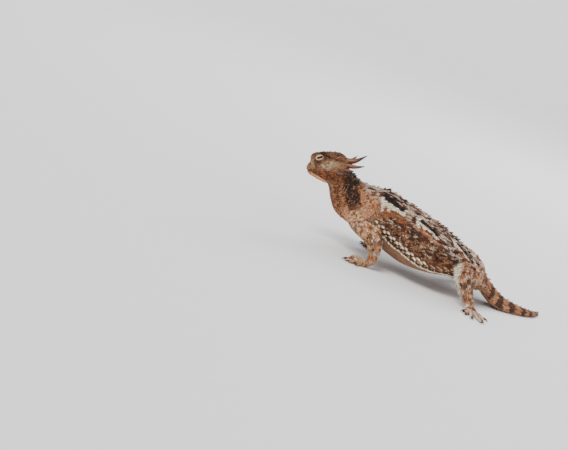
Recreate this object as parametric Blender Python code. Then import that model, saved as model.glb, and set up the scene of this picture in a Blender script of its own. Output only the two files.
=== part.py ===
"""Desert horned lizard: a still, life-size model on four feet with the head raised.

The sizes are in millimetres, and the last step brings the finished nodes to metres.
X runs from the snout back to the tail, the left side is towards -Y, the floor is Z = 0.
"""
import math
import random

import bmesh
import bpy
from mathutils import Matrix, Vector

MM = 0.001
GAP = 0.3
SEED = 7
FLOOR_DEPTH = 20.0
ROOT_SINK = 0.7
WELD = 0.0015

# Trunk stations from the neck's end in the head to the tail tip: the top outline's x and z,
# the bottom outline's x and z, the middle's y, the half width, and the level of the widest
# line as a share of the height.
TRUNK = (
    (-20.0, 32.6, -23.4, 25.0, 0.0, 5.4, 0.50),
    (-16.0, 32.0, -21.4, 21.4, 0.0, 6.2, 0.50),
    (-10.8, 29.6, -19.0, 17.2, 0.0, 6.7, 0.50),
    (-4.5, 29.1, -15.2, 13.4, 0.0, 8.4, 0.50),
    (3.0, 29.7, -6.5, 10.6, 0.0, 12.6, 0.50),
    (11.0, 27.8, 4.5, 7.6, 0.0, 17.4, 0.49),
    (19.5, 25.9, 15.5, 4.6, 0.0, 20.6, 0.47),
    (28.0, 23.5, 26.0, 5.0, 0.0, 21.2, 0.40),
    (37.0, 20.2, 35.5, 6.8, 0.0, 18.6, 0.39),
    (45.5, 15.6, 43.5, 7.6, 0.0, 13.6, 0.42),
    (52.0, 11.0, 50.5, 4.8, 0.0, 9.4, 0.42),
    (57.5, 7.3, 56.5, 1.2, 0.3, 7.2, 0.38),
    (62.5, 5.0, 62.2, -0.2, 1.2, 5.2, 0.36),
    (68.0, 3.8, 68.0, -0.2, 3.0, 3.8, 0.36),
    (73.0, 3.0, 73.0, -0.2, 6.0, 2.8, 0.38),
    (77.0, 2.3, 77.0, -0.2, 10.2, 2.0, 0.40),
    (79.6, 1.7, 79.6, -0.2, 15.2, 1.3, 0.42),
    (81.0, 1.0, 81.0, -0.2, 20.2, 0.6, 0.45),
)
NECK_ENDS = (0.0, 3.3)
TORSO_ENDS = (3.33, 9.75)
TAIL_ENDS = (9.80, 17.0)
NECK_ROOM_END = 4.2

# Head stations in the head's own frame, x forward and z up from its middle
HEAD = (
    (11.25, 0.9, 11.25, -0.5, 0.0, 0.9, 0.50),
    (10.95, 1.4, 11.00, -1.2, 0.0, 2.0, 0.48),
    (10.30, 2.2, 10.40, -1.9, 0.0, 3.0, 0.46),
    (9.35, 3.3, 9.80, -2.6, 0.0, 3.6, 0.46),
    (8.80, 5.0, 9.00, -3.1, 0.0, 4.3, 0.45),
    (7.60, 6.1, 7.60, -3.8, 0.0, 5.2, 0.44),
    (5.30, 6.55, 4.90, -5.3, 0.0, 6.4, 0.44),
    (2.00, 6.55, 1.80, -6.7, 0.0, 7.6, 0.45),
    (-1.00, 6.3, -1.20, -7.4, 0.0, 8.4, 0.47),
    (-3.00, 5.75, -3.30, -6.8, 0.0, 8.5, 0.48),
    (-3.90, 4.6, -4.50, -5.0, 0.0, 7.6, 0.48),
    (-4.60, 3.1, -5.10, -2.4, 0.0, 5.2, 0.50),
    (-5.00, 1.4, -5.30, -0.6, 0.0, 2.0, 0.50),
)
HEAD_ORIGIN = (-22.5, 0.0, 30.3)
HEAD_PITCH = 21.0
HEAD_ROLL = 9.5
HEAD_YAW = 12.0

EYE_PLACE = (7.1, 3.0, 4.2)
EYE_RADIUS = 1.6
LID_THICKNESS = 0.55
SLIT_HALF = (1.5, 1.6, 0.6)
SLIT_TILT = 8.0
NOSTRIL = (10.2, 1.9, 1.6)
NOSTRIL_RADIUS = 0.45
MOUTH_START = (11.05, -0.7)
MOUTH_CORNER = (5.9, -3.7)
MOUTH_GROOVE = 0.28

# Horns in the head's frame, left side: root, bend, tip and root radius
HORNS = {
    "occipital_horn": ((-3.2, 3.1, 2.8), (-7.5, 5.3, 2.75), (-11.9, 8.2, 4.9), 1.6),
    "temporal_horn_1": ((-3.6, 6.1, 0.9), (-7.2, 7.8, 0.3), (-10.5, 9.0, 0.5), 1.15),
    "temporal_horn_2": ((-2.4, 7.4, -0.9), (-4.4, 8.8, -1.3), (-6.0, 9.7, -1.3), 0.95),
    "temporal_horn_3": ((0.2, 7.6, -2.2), (-1.3, 8.9, -2.6), (-2.5, 9.6, -2.8), 0.8),
}

# Legs: joints from inside the trunk to the foot's middle, with the radii there
FRONT_LEG = {
    "left": ((-8.0, -4.5, 16.6), (-4.8, -12.4, 15.4), (1.6, -19.2, 12.4), (3.8, -18.5, 7.4),
             (4.2, -17.4, 2.9), (1.6, -16.9, 1.2)),
    "right": ((-8.0, 4.5, 16.6), (-4.2, 12.6, 15.4), (3.2, 19.4, 12.4), (6.0, 18.6, 7.4),
              (7.0, 17.4, 2.9), (5.2, 19.0, 1.2)),
}
FRONT_LEG_RADII = (4.2, 4.8, 3.6, 2.6, 1.8, 1.5)
HIND_LEG = {
    "left": ((49.5, -2.0, 8.4), (46.5, -11.0, 10.6), (39.6, -20.6, 13.0), (42.6, -22.4, 7.4),
             (46.0, -23.0, 2.7), (46.8, -26.2, 1.4)),
    "right": ((49.5, 2.0, 8.4), (46.8, 11.0, 10.4), (40.8, 20.8, 12.2), (43.4, 23.0, 7.0),
              (45.8, 24.2, 2.7), (44.8, 27.4, 1.4)),
}
HIND_LEG_RADII = (2.9, 4.9, 3.8, 3.1, 2.1, 1.6)

# Digits: heading from straight ahead of the animal in degrees, outward positive, and length
FRONT_DIGITS = ((-34.0, 4.2), (-12.0, 6.2), (6.0, 7.2), (24.0, 6.6), (52.0, 4.6))
HIND_DIGITS = ((-48.0, 4.2), (-26.0, 6.6), (-6.0, 9.2), (14.0, 11.2), (42.0, 7.4))
HAND_HEADING = {"left": 8.0, "right": 58.0}
FOOT_HEADING = {"left": 99.0, "right": 66.0}
RAISED_FINGER = ("left", 1)
RAISED_HEIGHT = 2.6
DIGIT_RADIUS = {"front": 0.72, "hind": 0.80}
CLAW_LENGTH = 1.9
FLAT_DEPTH = 0.14

# Spine sizes: root radius and length, with the share that each one varies by
FRINGE_SPINE = (0.85, 2.6)
BACK_SPINE = (0.80, 1.6)
NECK_SPINE = (0.65, 1.4)
TAIL_SPINE = (0.70, 2.0)
LIMB_SPINE = (0.70, 1.6)
SIZE_SPREAD = 0.18

COLOURS = {
    "skin": (0.40, 0.27, 0.18, 0.75),
    "neck": (0.20, 0.12, 0.08, 0.75),
    "horn": (0.33, 0.16, 0.09, 0.45),
    "eye": (0.02, 0.015, 0.01, 0.15),
}


def spline(rows, at):
    """Row of numbers at a place between the rows, on a smooth curve through them."""
    last = len(rows) - 1
    at = min(max(at, 0.0), float(last))
    low = min(int(at), last - 1)
    part = at - low
    before, start = rows[max(low - 1, 0)], rows[low]
    end, after = rows[low + 1], rows[min(low + 2, last)]
    result = []
    for a, b, c, d in zip(before, start, end, after):
        bend = (c - a) * part + (2 * a - 5 * b + 4 * c - d) * part ** 2
        result.append(b + 0.5 * (bend + (3 * b - a - 3 * c + d) * part ** 3))
    return result


class Loft:
    """A body form through stations, with rounded sections about its widest line."""

    def __init__(self, stations, top_power, bottom_power):
        self.stations = stations
        self.top_power = top_power
        self.bottom_power = bottom_power

    def middle(self, at):
        row = spline(self.stations, at)
        top = Vector((row[0], row[4], row[1]))
        bottom = Vector((row[2], row[4], row[3]))
        return bottom.lerp(top, row[6]), top, bottom, row[5]

    def point(self, at, angle, grow=0.0):
        """Surface point: angle 0 is the left side, 90 the top, 180 the right side."""
        centre, top, bottom, width = self.middle(at)
        ahead = self.middle(at + 0.05)[0] - self.middle(at - 0.05)[0]
        left = Vector((ahead.y, -ahead.x, 0.0)).normalized()
        turn = math.radians(angle)
        across, rise = math.cos(turn), math.sin(turn)
        arm = top - centre if rise >= 0 else bottom - centre
        power = 2.0 / (self.top_power if rise >= 0 else self.bottom_power)
        side = math.copysign(abs(across) ** power, across) * (width + grow)
        height = abs(rise) ** power * (arm.length + grow)
        return centre + left * side + arm.normalized() * height

    def seat(self, at, angle):
        """Surface point, its outward normal and the direction towards the tail there."""
        here = self.point(at, angle)
        back = (self.point(at + 0.06, angle) - self.point(at - 0.06, angle)).normalized()
        round_way = self.point(at, angle + 3.0) - self.point(at, angle - 3.0)
        normal = round_way.cross(back).normalized()
        if normal.dot(here - self.middle(at)[0]) < 0:
            normal.negate()
        return here, normal, back

    def solid(self, name, ends, rings, sides, grow=0.0):
        sections = []
        for ring in range(rings + 1):
            at = ends[0] + (ends[1] - ends[0]) * ring / rings
            sections.append([self.point(at, 360.0 * k / sides, grow) for k in range(sides)])
        return skin_sections(name, sections)


def skin_sections(name, sections):
    """Closed mesh object over a row of rings with equal numbers of points."""
    mesh = bpy.data.meshes.new(name)
    shape = bmesh.new()
    rings = [[shape.verts.new(point) for point in section] for section in sections]
    for first, second in zip(rings, rings[1:]):
        for k, vert in enumerate(first):
            beside = (k + 1) % len(first)
            shape.faces.new((vert, first[beside], second[beside], second[k]))
    shape.faces.new(rings[0])
    shape.faces.new(rings[-1])
    bmesh.ops.triangulate(shape, faces=shape.faces)
    bmesh.ops.recalc_face_normals(shape, faces=shape.faces)
    shape.to_mesh(mesh)
    shape.free()
    return link(bpy.data.objects.new(name, mesh))


def sweep(name, path, radii, sides, steps, flatten=1.0, end_share=0.5):
    """Tapered limb along a smooth path; its sections are flattened by a share."""
    rows = [tuple(point) + (radius,) for point, radius in zip(path, radii)]
    count = (len(rows) - 1) * steps
    centres = []
    for k in range(count + 1):
        row = spline(rows, k / steps)
        centres.append((Vector(row[:3]), row[3]))
    last, radius = centres[-1]
    forward = (last - centres[-2][0]).normalized()
    centres.append((last + forward * radius * 0.5, radius * end_share))
    sections = []
    side = None
    for k, (centre, radius) in enumerate(centres):
        before = centres[max(k - 1, 0)][0]
        after = centres[min(k + 1, len(centres) - 1)][0]
        forward = (after - before).normalized()
        if side is None:
            side = forward.cross(Vector((0.0, 0.0, 1.0))).normalized()
        side = (side - forward * side.dot(forward)).normalized()
        rise = side.cross(forward)
        ring = []
        for step in range(sides):
            turn = math.tau * (step + 0.5) / sides
            ring.append(centre + side * math.cos(turn) * radius
                        + rise * math.sin(turn) * radius * flatten)
        sections.append(ring)
    return skin_sections(name, sections)


def link(item):
    bpy.context.scene.collection.objects.link(item)
    return item


def cone(name, root, direction, radius, length, sides=4, tip=0.06, roll=0.0):
    """Tapered spike that starts at its root and ends in a blunt point."""
    shape = bmesh.new()
    turn = direction.to_track_quat("Z", "Y").to_matrix().to_4x4()
    place = Matrix.Translation(root + direction * (length / 2)) @ turn
    place = place @ Matrix.Rotation(roll, 4, "Z")
    bmesh.ops.create_cone(shape, cap_ends=True, segments=sides, radius1=radius,
                          radius2=tip, depth=length, matrix=place)
    mesh = bpy.data.meshes.new(name)
    shape.to_mesh(mesh)
    shape.free()
    return link(bpy.data.objects.new(name, mesh))


def ball(name, centre, halves, turn=None, segments=16, rings=10):
    """Stretched sphere with the half sizes given along its own axes."""
    shape = bmesh.new()
    place = Matrix.Translation(centre) @ (turn or Matrix.Identity(4))
    place = place @ Matrix.Diagonal((halves[0], halves[1], halves[2], 1.0))
    bmesh.ops.create_uvsphere(shape, u_segments=segments, v_segments=rings, radius=1.0,
                              matrix=place)
    mesh = bpy.data.meshes.new(name)
    shape.to_mesh(mesh)
    shape.free()
    return link(bpy.data.objects.new(name, mesh))


def block(name, low, high):
    shape = bmesh.new()
    low, high = Vector(low), Vector(high)
    size = high - low
    place = Matrix.Translation((low + high) / 2) @ Matrix.Diagonal((*size, 1.0))
    bmesh.ops.create_cube(shape, size=1.0, matrix=place)
    mesh = bpy.data.meshes.new(name)
    shape.to_mesh(mesh)
    shape.free()
    return link(bpy.data.objects.new(name, mesh))


def combine(item, others, operation, solver="EXACT"):
    """Boolean of an object with closed meshes, applied; the others are removed."""
    group = bpy.data.collections.new("pieces_" + operation.lower())
    for other in others:
        group.objects.link(other)
    step = item.modifiers.new("combine", "BOOLEAN")
    step.operation = operation
    step.solver = solver
    step.operand_type = "COLLECTION"
    step.collection = group
    graph = bpy.context.evaluated_depsgraph_get()
    mesh = bpy.data.meshes.new_from_object(item.evaluated_get(graph))
    item.modifiers.clear()
    item.data = mesh
    bpy.data.collections.remove(group)
    for other in others:
        bpy.data.objects.remove(other)


def keep_largest(item):
    """Keep the largest closed surface, which drops sealed hollows and loose scraps."""
    shape = bmesh.new()
    shape.from_mesh(item.data)
    bmesh.ops.remove_doubles(shape, verts=shape.verts, dist=WELD)
    bmesh.ops.triangulate(shape, faces=shape.faces)
    groups = []
    unseen = set(shape.faces)
    while unseen:
        front = [unseen.pop()]
        group = set(front)
        while front:
            face = front.pop()
            for edge in face.edges:
                for other in edge.link_faces:
                    if other in unseen:
                        unseen.discard(other)
                        group.add(other)
                        front.append(other)
        groups.append(group)
    groups.sort(key=len)
    loose = [face for group in groups[:-1] for face in group]
    bmesh.ops.delete(shape, geom=loose, context="FACES")
    bmesh.ops.delete(shape, geom=[v for v in shape.verts if not v.link_faces],
                     context="VERTS")
    shape.to_mesh(item.data)
    shape.free()


def head_matrix():
    """Place of the head: level to the viewer while the body follows the ground."""
    turn = Matrix.Rotation(math.radians(-HEAD_ROLL), 4, "X")
    turn = turn @ Matrix.Rotation(math.radians(-HEAD_PITCH), 4, "Y")
    turn = turn @ Matrix.Rotation(math.radians(180.0 + HEAD_YAW), 4, "Z")
    return Matrix.Translation(HEAD_ORIGIN) @ turn


def head_side(x, z):
    """Left surface point of the head loft at a length and a height."""
    low, high = 0.0, len(HEAD) - 1.0
    for _ in range(30):
        middle = (low + high) / 2
        if HEAD_FORM.middle(middle)[0].x > x:
            low = middle
        else:
            high = middle
    centre, top, bottom, width = HEAD_FORM.middle(low)
    rise = z - centre.z
    power = HEAD_FORM.top_power if rise >= 0 else HEAD_FORM.bottom_power
    reach = (top - centre).length if rise >= 0 else (bottom - centre).length
    share = min(abs(rise) / reach, 1.0)
    return Vector((x, width * (1.0 - share ** power) ** (1.0 / power), z))


def floor_cut(item):
    span = 200.0
    combine(item, [block("floor_cut", (-span, -span, -FLOOR_DEPTH), (span, span, 0.0))],
            "DIFFERENCE")


BODY_FORM = Loft(TRUNK, 2.15, 2.5)
HEAD_FORM = Loft(HEAD, 2.7, 2.3)


def vary(rng, value):
    return value * (1.0 + rng.uniform(-SIZE_SPREAD, SIZE_SPREAD))


def body_spine(name, at, angle, size, lean, rng, out=None):
    """Spine on the trunk that leans towards the tail by an angle in degrees."""
    root, normal, back = BODY_FORM.seat(at, angle)
    if out is not None:
        normal = (normal + out).normalized()
    lean = math.radians(lean)
    direction = (normal * math.cos(lean) + back * math.sin(lean)).normalized()
    length = vary(rng, size[1]) + ROOT_SINK
    return cone(name, root - direction * ROOT_SINK, direction, vary(rng, size[0]), length,
                roll=rng.uniform(0.0, math.tau))


def legs_clear(point, margin):
    """True where a spine at a point stays clear of every leg."""
    for paths, radii in ((FRONT_LEG, FRONT_LEG_RADII), (HIND_LEG, HIND_LEG_RADII)):
        for path in paths.values():
            rows = [joint + (radius,) for joint, radius in zip(path, radii)]
            for step in range((len(rows) - 1) * 6 + 1):
                row = spline(rows, step / 6)
                if (Vector(row[:3]) - point).length < row[3] + margin:
                    return False
    return True


def make_neck():
    rng = random.Random(SEED)
    neck = BODY_FORM.solid("neck", NECK_ENDS, 7, 24)
    spines = []
    for at in (1.75, 2.35, 2.95):
        for angle in (68, 90, 112):
            spines.append(body_spine("spine", at, angle, NECK_SPINE, 35, rng))
        for angle in (18, 162):
            spines.append(body_spine("spine", at, angle, NECK_SPINE, 40, rng))
    combine(neck, spines, "UNION")
    return neck


def make_torso():
    rng = random.Random(SEED + 1)
    torso = BODY_FORM.solid("torso", TORSO_ENDS, 20, 28)
    spines = []
    rows = ((90, 0.0), (68, 0.5), (112, 0.5), (47, 0.0), (133, 0.0), (27, 0.5), (153, 0.5))
    for angle, shift in rows:
        at = 3.75 + shift * 0.42
        while at < 9.55:
            place = at + rng.uniform(-0.08, 0.08)
            turn = angle + rng.uniform(-4.0, 4.0)
            seat = BODY_FORM.point(place, turn)
            if legs_clear(seat, 2.4):
                spines.append(body_spine("spine", place, turn, BACK_SPINE, 38, rng))
            at += 0.46
    for side in (-1, 1):
        at = 4.2
        while at < 9.4:
            turn = 90 + side * 91
            seat = BODY_FORM.point(at, turn)
            if legs_clear(seat, 2.6):
                spines.append(body_spine("fringe", at, turn, FRINGE_SPINE, 22, rng))
            at += 0.21
    combine(torso, spines, "UNION")
    return torso


def make_tail():
    rng = random.Random(SEED + 2)
    tail = BODY_FORM.solid("tail", TAIL_ENDS, 18, 14)
    spines = []
    for side in (-1, 1):
        at = 10.3
        while at < 16.2:
            turn = 90 + side * (90 - 6)
            seat = BODY_FORM.point(at, turn)
            if legs_clear(seat, 2.4):
                share = 1.0 - 0.5 * (at - 10.0) / 7.0
                size = (TAIL_SPINE[0] * share, TAIL_SPINE[1] * share)
                spines.append(body_spine("spine", at, turn, size, 30, rng))
            at += 0.4
        at = 10.2
        while at < 15.0:
            share = 1.0 - 0.5 * (at - 10.0) / 7.0
            size = (TAIL_SPINE[0] * share, TAIL_SPINE[1] * 0.8 * share)
            spines.append(body_spine("spine", at, 90 + side * 34, size, 42, rng))
            at += 0.62
    combine(tail, spines, "UNION")
    floor_cut(tail)
    return tail


def horn_path(horn, side, matrix):
    root, bend, tip, radius = HORNS[horn]
    mirrored = [Vector((x, y * side, z)) for x, y, z in (root, bend, tip)]
    return [matrix @ point for point in mirrored], radius


def horn_solid(name, horn, side, matrix, grow=0.0):
    path, radius = horn_path(horn, side, matrix)
    radii = (radius + grow, radius * 0.62 + grow, 0.16 + grow)
    start = path[0] - (path[1] - path[0]).normalized() * grow
    return sweep(name, [start] + path[1:], radii, 8, 3, end_share=0.4)


def head_ridges(matrix):
    """Brow and temple ridges with the rear edge of the crown."""
    pieces = []
    for side in (1, -1):
        brow = ((8.4, 2.2, 4.7), (7.7, 3.7, 5.3), (5.9, 4.9, 5.8), (4.0, 5.8, 5.6),
                (2.8, 6.5, 4.7))
        temple = ((3.2, 6.6, 4.5), (0.8, 7.6, 3.9), (-1.8, 8.0, 2.9), (-3.2, 7.4, 2.0))
        for path, radii in ((brow, (0.5, 0.75, 0.85, 0.8, 0.45)),
                            (temple, (0.5, 0.7, 0.85, 0.6))):
            points = [matrix @ Vector((x, y * side, z)) for x, y, z in path]
            pieces.append(sweep("ridge", points, radii, 6, 2))
    return pieces


def crown_bumps(matrix, rng):
    """Low keeled bumps over the crown and its rear edge."""
    pieces = []
    for at in (5.3, 6.0, 6.7, 7.4, 8.1, 8.8, 9.35):
        for angle in (75, 105, 52, 128):
            turn = angle + rng.uniform(-5.0, 5.0)
            root, normal, back = HEAD_FORM.seat(at + rng.uniform(-0.12, 0.12), turn)
            direction = matrix.to_3x3() @ (normal + back * 0.3).normalized()
            length = vary(rng, 0.45) + ROOT_SINK
            pieces.append(cone("bump", matrix @ root - direction * ROOT_SINK, direction,
                               vary(rng, 0.95), length, 4, tip=0.35))
    return pieces


def mouth_height(x):
    share = (MOUTH_START[0] - x) / (MOUTH_START[0] - MOUTH_CORNER[0])
    share = max(share, 0.0)
    return MOUTH_START[1] + (MOUTH_CORNER[1] - MOUTH_START[1]) * share ** 1.1


def chin_plates(matrix, rng):
    """Enlarged scales in a row along each side of the lower jaw."""
    pieces = []
    for side in (1, -1):
        for k in range(8):
            x = 10.4 - 1.12 * k
            z = mouth_height(x) - 0.95 - 0.05 * k
            point = head_side(x, z)
            outward = Vector((-0.25, 0.85, -0.55)).normalized()
            root = matrix @ Vector((point.x, point.y * side, point.z))
            direction = Vector((outward.x, outward.y * side, outward.z))
            direction = (matrix.to_3x3() @ direction).normalized()
            size = 0.62 + 0.045 * k
            length = vary(rng, 0.62 + 0.06 * k) + ROOT_SINK
            pieces.append(cone("plate", root - direction * ROOT_SINK, direction,
                               size * 1.15, length, 4, tip=size * 0.45))
    return pieces


def mouth_cutter(matrix):
    right, left = [], []
    for k in range(5):
        share = k / 4
        x = MOUTH_CORNER[0] + (11.1 - MOUTH_CORNER[0]) * share
        point = head_side(x, mouth_height(x))
        left.append(matrix @ point)
        right.append(matrix @ Vector((point.x, -point.y, point.z)))
    front = matrix @ Vector((MOUTH_START[0] + 0.2, 0.0, MOUTH_START[1]))
    path = left + [front] + right[::-1]
    return sweep("mouth", path, [MOUTH_GROOVE] * len(path), 5, 2)


def make_head(matrix):
    rng = random.Random(SEED + 3)
    head = HEAD_FORM.solid("head", (0.0, len(HEAD) - 1.0), 21, 24)
    head.data.transform(matrix)
    pieces = head_ridges(matrix) + crown_bumps(matrix, rng) + chin_plates(matrix, rng)
    for side in (1, -1):
        eye = Vector((EYE_PLACE[0], EYE_PLACE[1] * side, EYE_PLACE[2]))
        radius = EYE_RADIUS + GAP + LID_THICKNESS
        pieces.append(ball("lids", matrix @ eye, (radius, radius, radius), None, 14, 9))
    combine(head, pieces, "UNION")
    cutters = [BODY_FORM.solid("neck_room", (NECK_ENDS[0], NECK_ROOM_END), 9, 24, GAP)]
    cutters.append(mouth_cutter(matrix))
    for side in (1, -1):
        eye = Vector((EYE_PLACE[0], EYE_PLACE[1] * side, EYE_PLACE[2]))
        room = EYE_RADIUS + GAP
        cutters.append(ball("eye_room", matrix @ eye, (room, room, room), None, 12, 8))
        slit = eye + Vector((0.0, side * (room - 0.1), 0.05))
        tilt = matrix.to_3x3().to_4x4()
        tilt = tilt @ Matrix.Rotation(math.radians(SLIT_TILT), 4, "Y")
        cutters.append(ball("slit", matrix @ slit, SLIT_HALF, tilt, 12, 6))
        nostril = Vector((NOSTRIL[0], NOSTRIL[1] * side, NOSTRIL[2]))
        cutters.append(ball("nostril", matrix @ nostril, (NOSTRIL_RADIUS,) * 3, None, 8, 6))
        for horn in HORNS:
            cutters.append(horn_solid("horn_room", horn, side, matrix, GAP))
    combine(head, cutters, "DIFFERENCE")
    return head


def digit(name, root, heading, length, radius, raised):
    """One toe with its claw, from the foot's middle outwards along the floor."""
    ahead = Vector((-math.cos(heading), -math.sin(heading), 0.0))
    low = radius - FLAT_DEPTH
    arch = RAISED_HEIGHT if raised else radius * 1.15
    path = [root, root + ahead * length * 0.35, root + ahead * length * 0.72,
            root + ahead * length]
    heights = (root.z, max(arch, root.z * 0.9), arch * (0.9 if raised else 0.85), low)
    path = [Vector((point.x, point.y, z)) for point, z in zip(path, heights)]
    radii = (radius * 1.25, radius * 1.1, radius, radius * 0.85)
    toe = sweep(name, path, radii, 5, 2)
    point = path[-1] + Vector((0.0, 0.0, radius * 0.25))
    direction = (ahead + Vector((0.0, 0.0, -0.26))).normalized()
    claw = cone(name + "_claw", point - direction * 0.3, direction, radius * 0.62,
                CLAW_LENGTH + 0.3, 4)
    return [toe, claw]


def foot_heading(side, heading, offset):
    """Heading in radians from -X, outward from the animal on either side."""
    way = 1.0 if side == "left" else -1.0
    return math.radians(heading + offset) * way


def limb_spines(path, radii, side, places, rng):
    """Spines along a limb's outer rear side."""
    rows = [joint + (radius,) for joint, radius in zip(path, radii)]
    outward = -1.0 if side == "left" else 1.0
    pieces = []
    for at in places:
        row = spline(rows, at)
        centre = Vector(row[:3])
        forward = (Vector(spline(rows, at + 0.1)[:3]) - centre).normalized()
        for way in (Vector((0.5, outward, 0.7)), Vector((1.0, outward * 0.3, 0.2))):
            out = (way - forward * way.dot(forward)).normalized()
            direction = (out + forward * 0.7).normalized()
            root = centre + out * (row[3] * 0.9) - direction * 0.5
            pieces.append(cone("spine", root, direction, vary(rng, LIMB_SPINE[0]),
                               vary(rng, LIMB_SPINE[1]) + 0.5))
    return pieces


def make_leg(kind, side, path, radii, digits, heading, spine_places, seed):
    rng = random.Random(seed)
    name = kind + "_leg_" + side
    leg = sweep(name, [Vector(joint) for joint in path], radii, 10, 3, 0.92)
    root = Vector(path[-1])
    radius = DIGIT_RADIUS[kind]
    pieces = [ball("palm", root, (2.6, 2.4, 1.5), None, 10, 6)]
    for number, (offset, length) in enumerate(digits):
        angle = foot_heading(side, heading, offset)
        raised = (side, number) == RAISED_FINGER and kind == "front"
        pieces += digit("digit", root, angle, length, radius, raised)
    pieces += limb_spines(path, radii, side, spine_places, rng)
    combine(leg, pieces, "UNION")
    room = BODY_FORM.solid("trunk_room", (2.0, 13.0), 33, 24, GAP)
    combine(leg, [room], "DIFFERENCE", "MANIFOLD")
    floor_cut(leg)
    return leg


def make_eye(name, side, matrix):
    eye = Vector((EYE_PLACE[0], EYE_PLACE[1] * side, EYE_PLACE[2]))
    return ball(name, matrix @ eye, (EYE_RADIUS,) * 3, None, 12, 8)


def material(name):
    red, green, blue, rough = COLOURS[name]
    found = bpy.data.materials.get(name) or bpy.data.materials.new(name)
    found.use_nodes = True
    shader = found.node_tree.nodes["Principled BSDF"]
    shader.inputs["Base Color"].default_value = (red, green, blue, 1.0)
    shader.inputs["Roughness"].default_value = rough
    shader.inputs["Metallic"].default_value = 0.0
    return found


def finish_node(item, group, colour):
    keep_largest(item)
    item.data.materials.clear()
    item.data.materials.append(material(colour))
    item.data.transform(Matrix.Scale(MM, 4))
    item.data.shade_smooth()
    item.data.set_sharp_from_angle(angle=math.radians(50.0))
    item.data.name = item.name
    for owner in list(item.users_collection):
        owner.objects.unlink(item)
    group.objects.link(item)


def centre_on_floor(items):
    """Move the whole model so that the floor under its middle is the origin."""
    points = [vert.co for item in items for vert in item.data.vertices]
    low = Vector([min(point[axis] for point in points) for axis in range(3)])
    high = Vector([max(point[axis] for point in points) for axis in range(3)])
    middle = (low + high) / 2
    shift = Matrix.Translation((-middle.x, -middle.y, 0.0))
    for item in items:
        item.data.transform(shift)


def main():
    for item in list(bpy.data.objects):
        bpy.data.objects.remove(item)
    group = bpy.data.collections.new("horned_lizard")
    bpy.context.scene.collection.children.link(group)
    matrix = head_matrix()
    nodes = [(make_head(matrix), "skin"), (make_neck(), "neck"), (make_torso(), "skin"),
             (make_tail(), "skin")]
    for number, side in enumerate(("left", "right")):
        way = 1 if side == "left" else -1
        nodes.append((make_leg("front", side, FRONT_LEG[side], FRONT_LEG_RADII,
                               FRONT_DIGITS, HAND_HEADING[side], (1.5, 2.4, 3.1),
                               SEED + 10 + number), "skin"))
        nodes.append((make_leg("hind", side, HIND_LEG[side], HIND_LEG_RADII,
                               HIND_DIGITS, FOOT_HEADING[side], (1.5, 2.3, 3.0),
                               SEED + 20 + number), "skin"))
        nodes.append((make_eye("eye_" + side, way, matrix), "eye"))
        for horn in HORNS:
            nodes.append((horn_solid(horn + "_" + side, horn, way, matrix), "horn"))
    for item, colour in nodes:
        finish_node(item, group, colour)
    centre_on_floor([item for item, _ in nodes])


main()
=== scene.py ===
"""Desert horned lizard: skin, scales, spines, horns, lids, eyes and claws of the still model.

Sizes are in millimetres in the animal's own frame, and each finished piece is brought to its
place in metres. X runs from the snout back to the tail, the left side is towards -Y.
"""
import itertools
import math
from collections import namedtuple

import bpy
import numpy as np
from mathutils import Matrix, Vector
from mathutils.bvhtree import BVHTree
from mathutils.kdtree import KDTree


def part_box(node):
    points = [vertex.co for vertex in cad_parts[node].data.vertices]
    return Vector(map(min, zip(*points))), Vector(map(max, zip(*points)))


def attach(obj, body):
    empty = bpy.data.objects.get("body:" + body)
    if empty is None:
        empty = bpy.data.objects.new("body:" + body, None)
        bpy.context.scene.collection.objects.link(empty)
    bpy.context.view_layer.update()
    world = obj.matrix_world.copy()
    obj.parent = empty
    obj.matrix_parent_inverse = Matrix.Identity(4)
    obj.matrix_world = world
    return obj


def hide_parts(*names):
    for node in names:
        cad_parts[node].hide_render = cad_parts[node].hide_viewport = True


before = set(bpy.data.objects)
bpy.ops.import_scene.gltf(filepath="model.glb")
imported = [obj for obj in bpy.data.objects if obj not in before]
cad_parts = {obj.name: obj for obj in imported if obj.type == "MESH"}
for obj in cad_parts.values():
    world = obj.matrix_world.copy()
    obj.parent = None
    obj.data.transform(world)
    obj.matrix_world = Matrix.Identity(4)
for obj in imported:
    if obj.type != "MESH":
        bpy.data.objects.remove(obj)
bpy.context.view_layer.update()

MM = 0.001
SEED = 11
SKIN_DEPTH = 0.25
SKIN_VOXEL = 0.30
FOLD_REACH = 3.0
THIN_SHARE = 0.55
FILL_SIZE = 0.5
PATCH = 0.003

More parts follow.
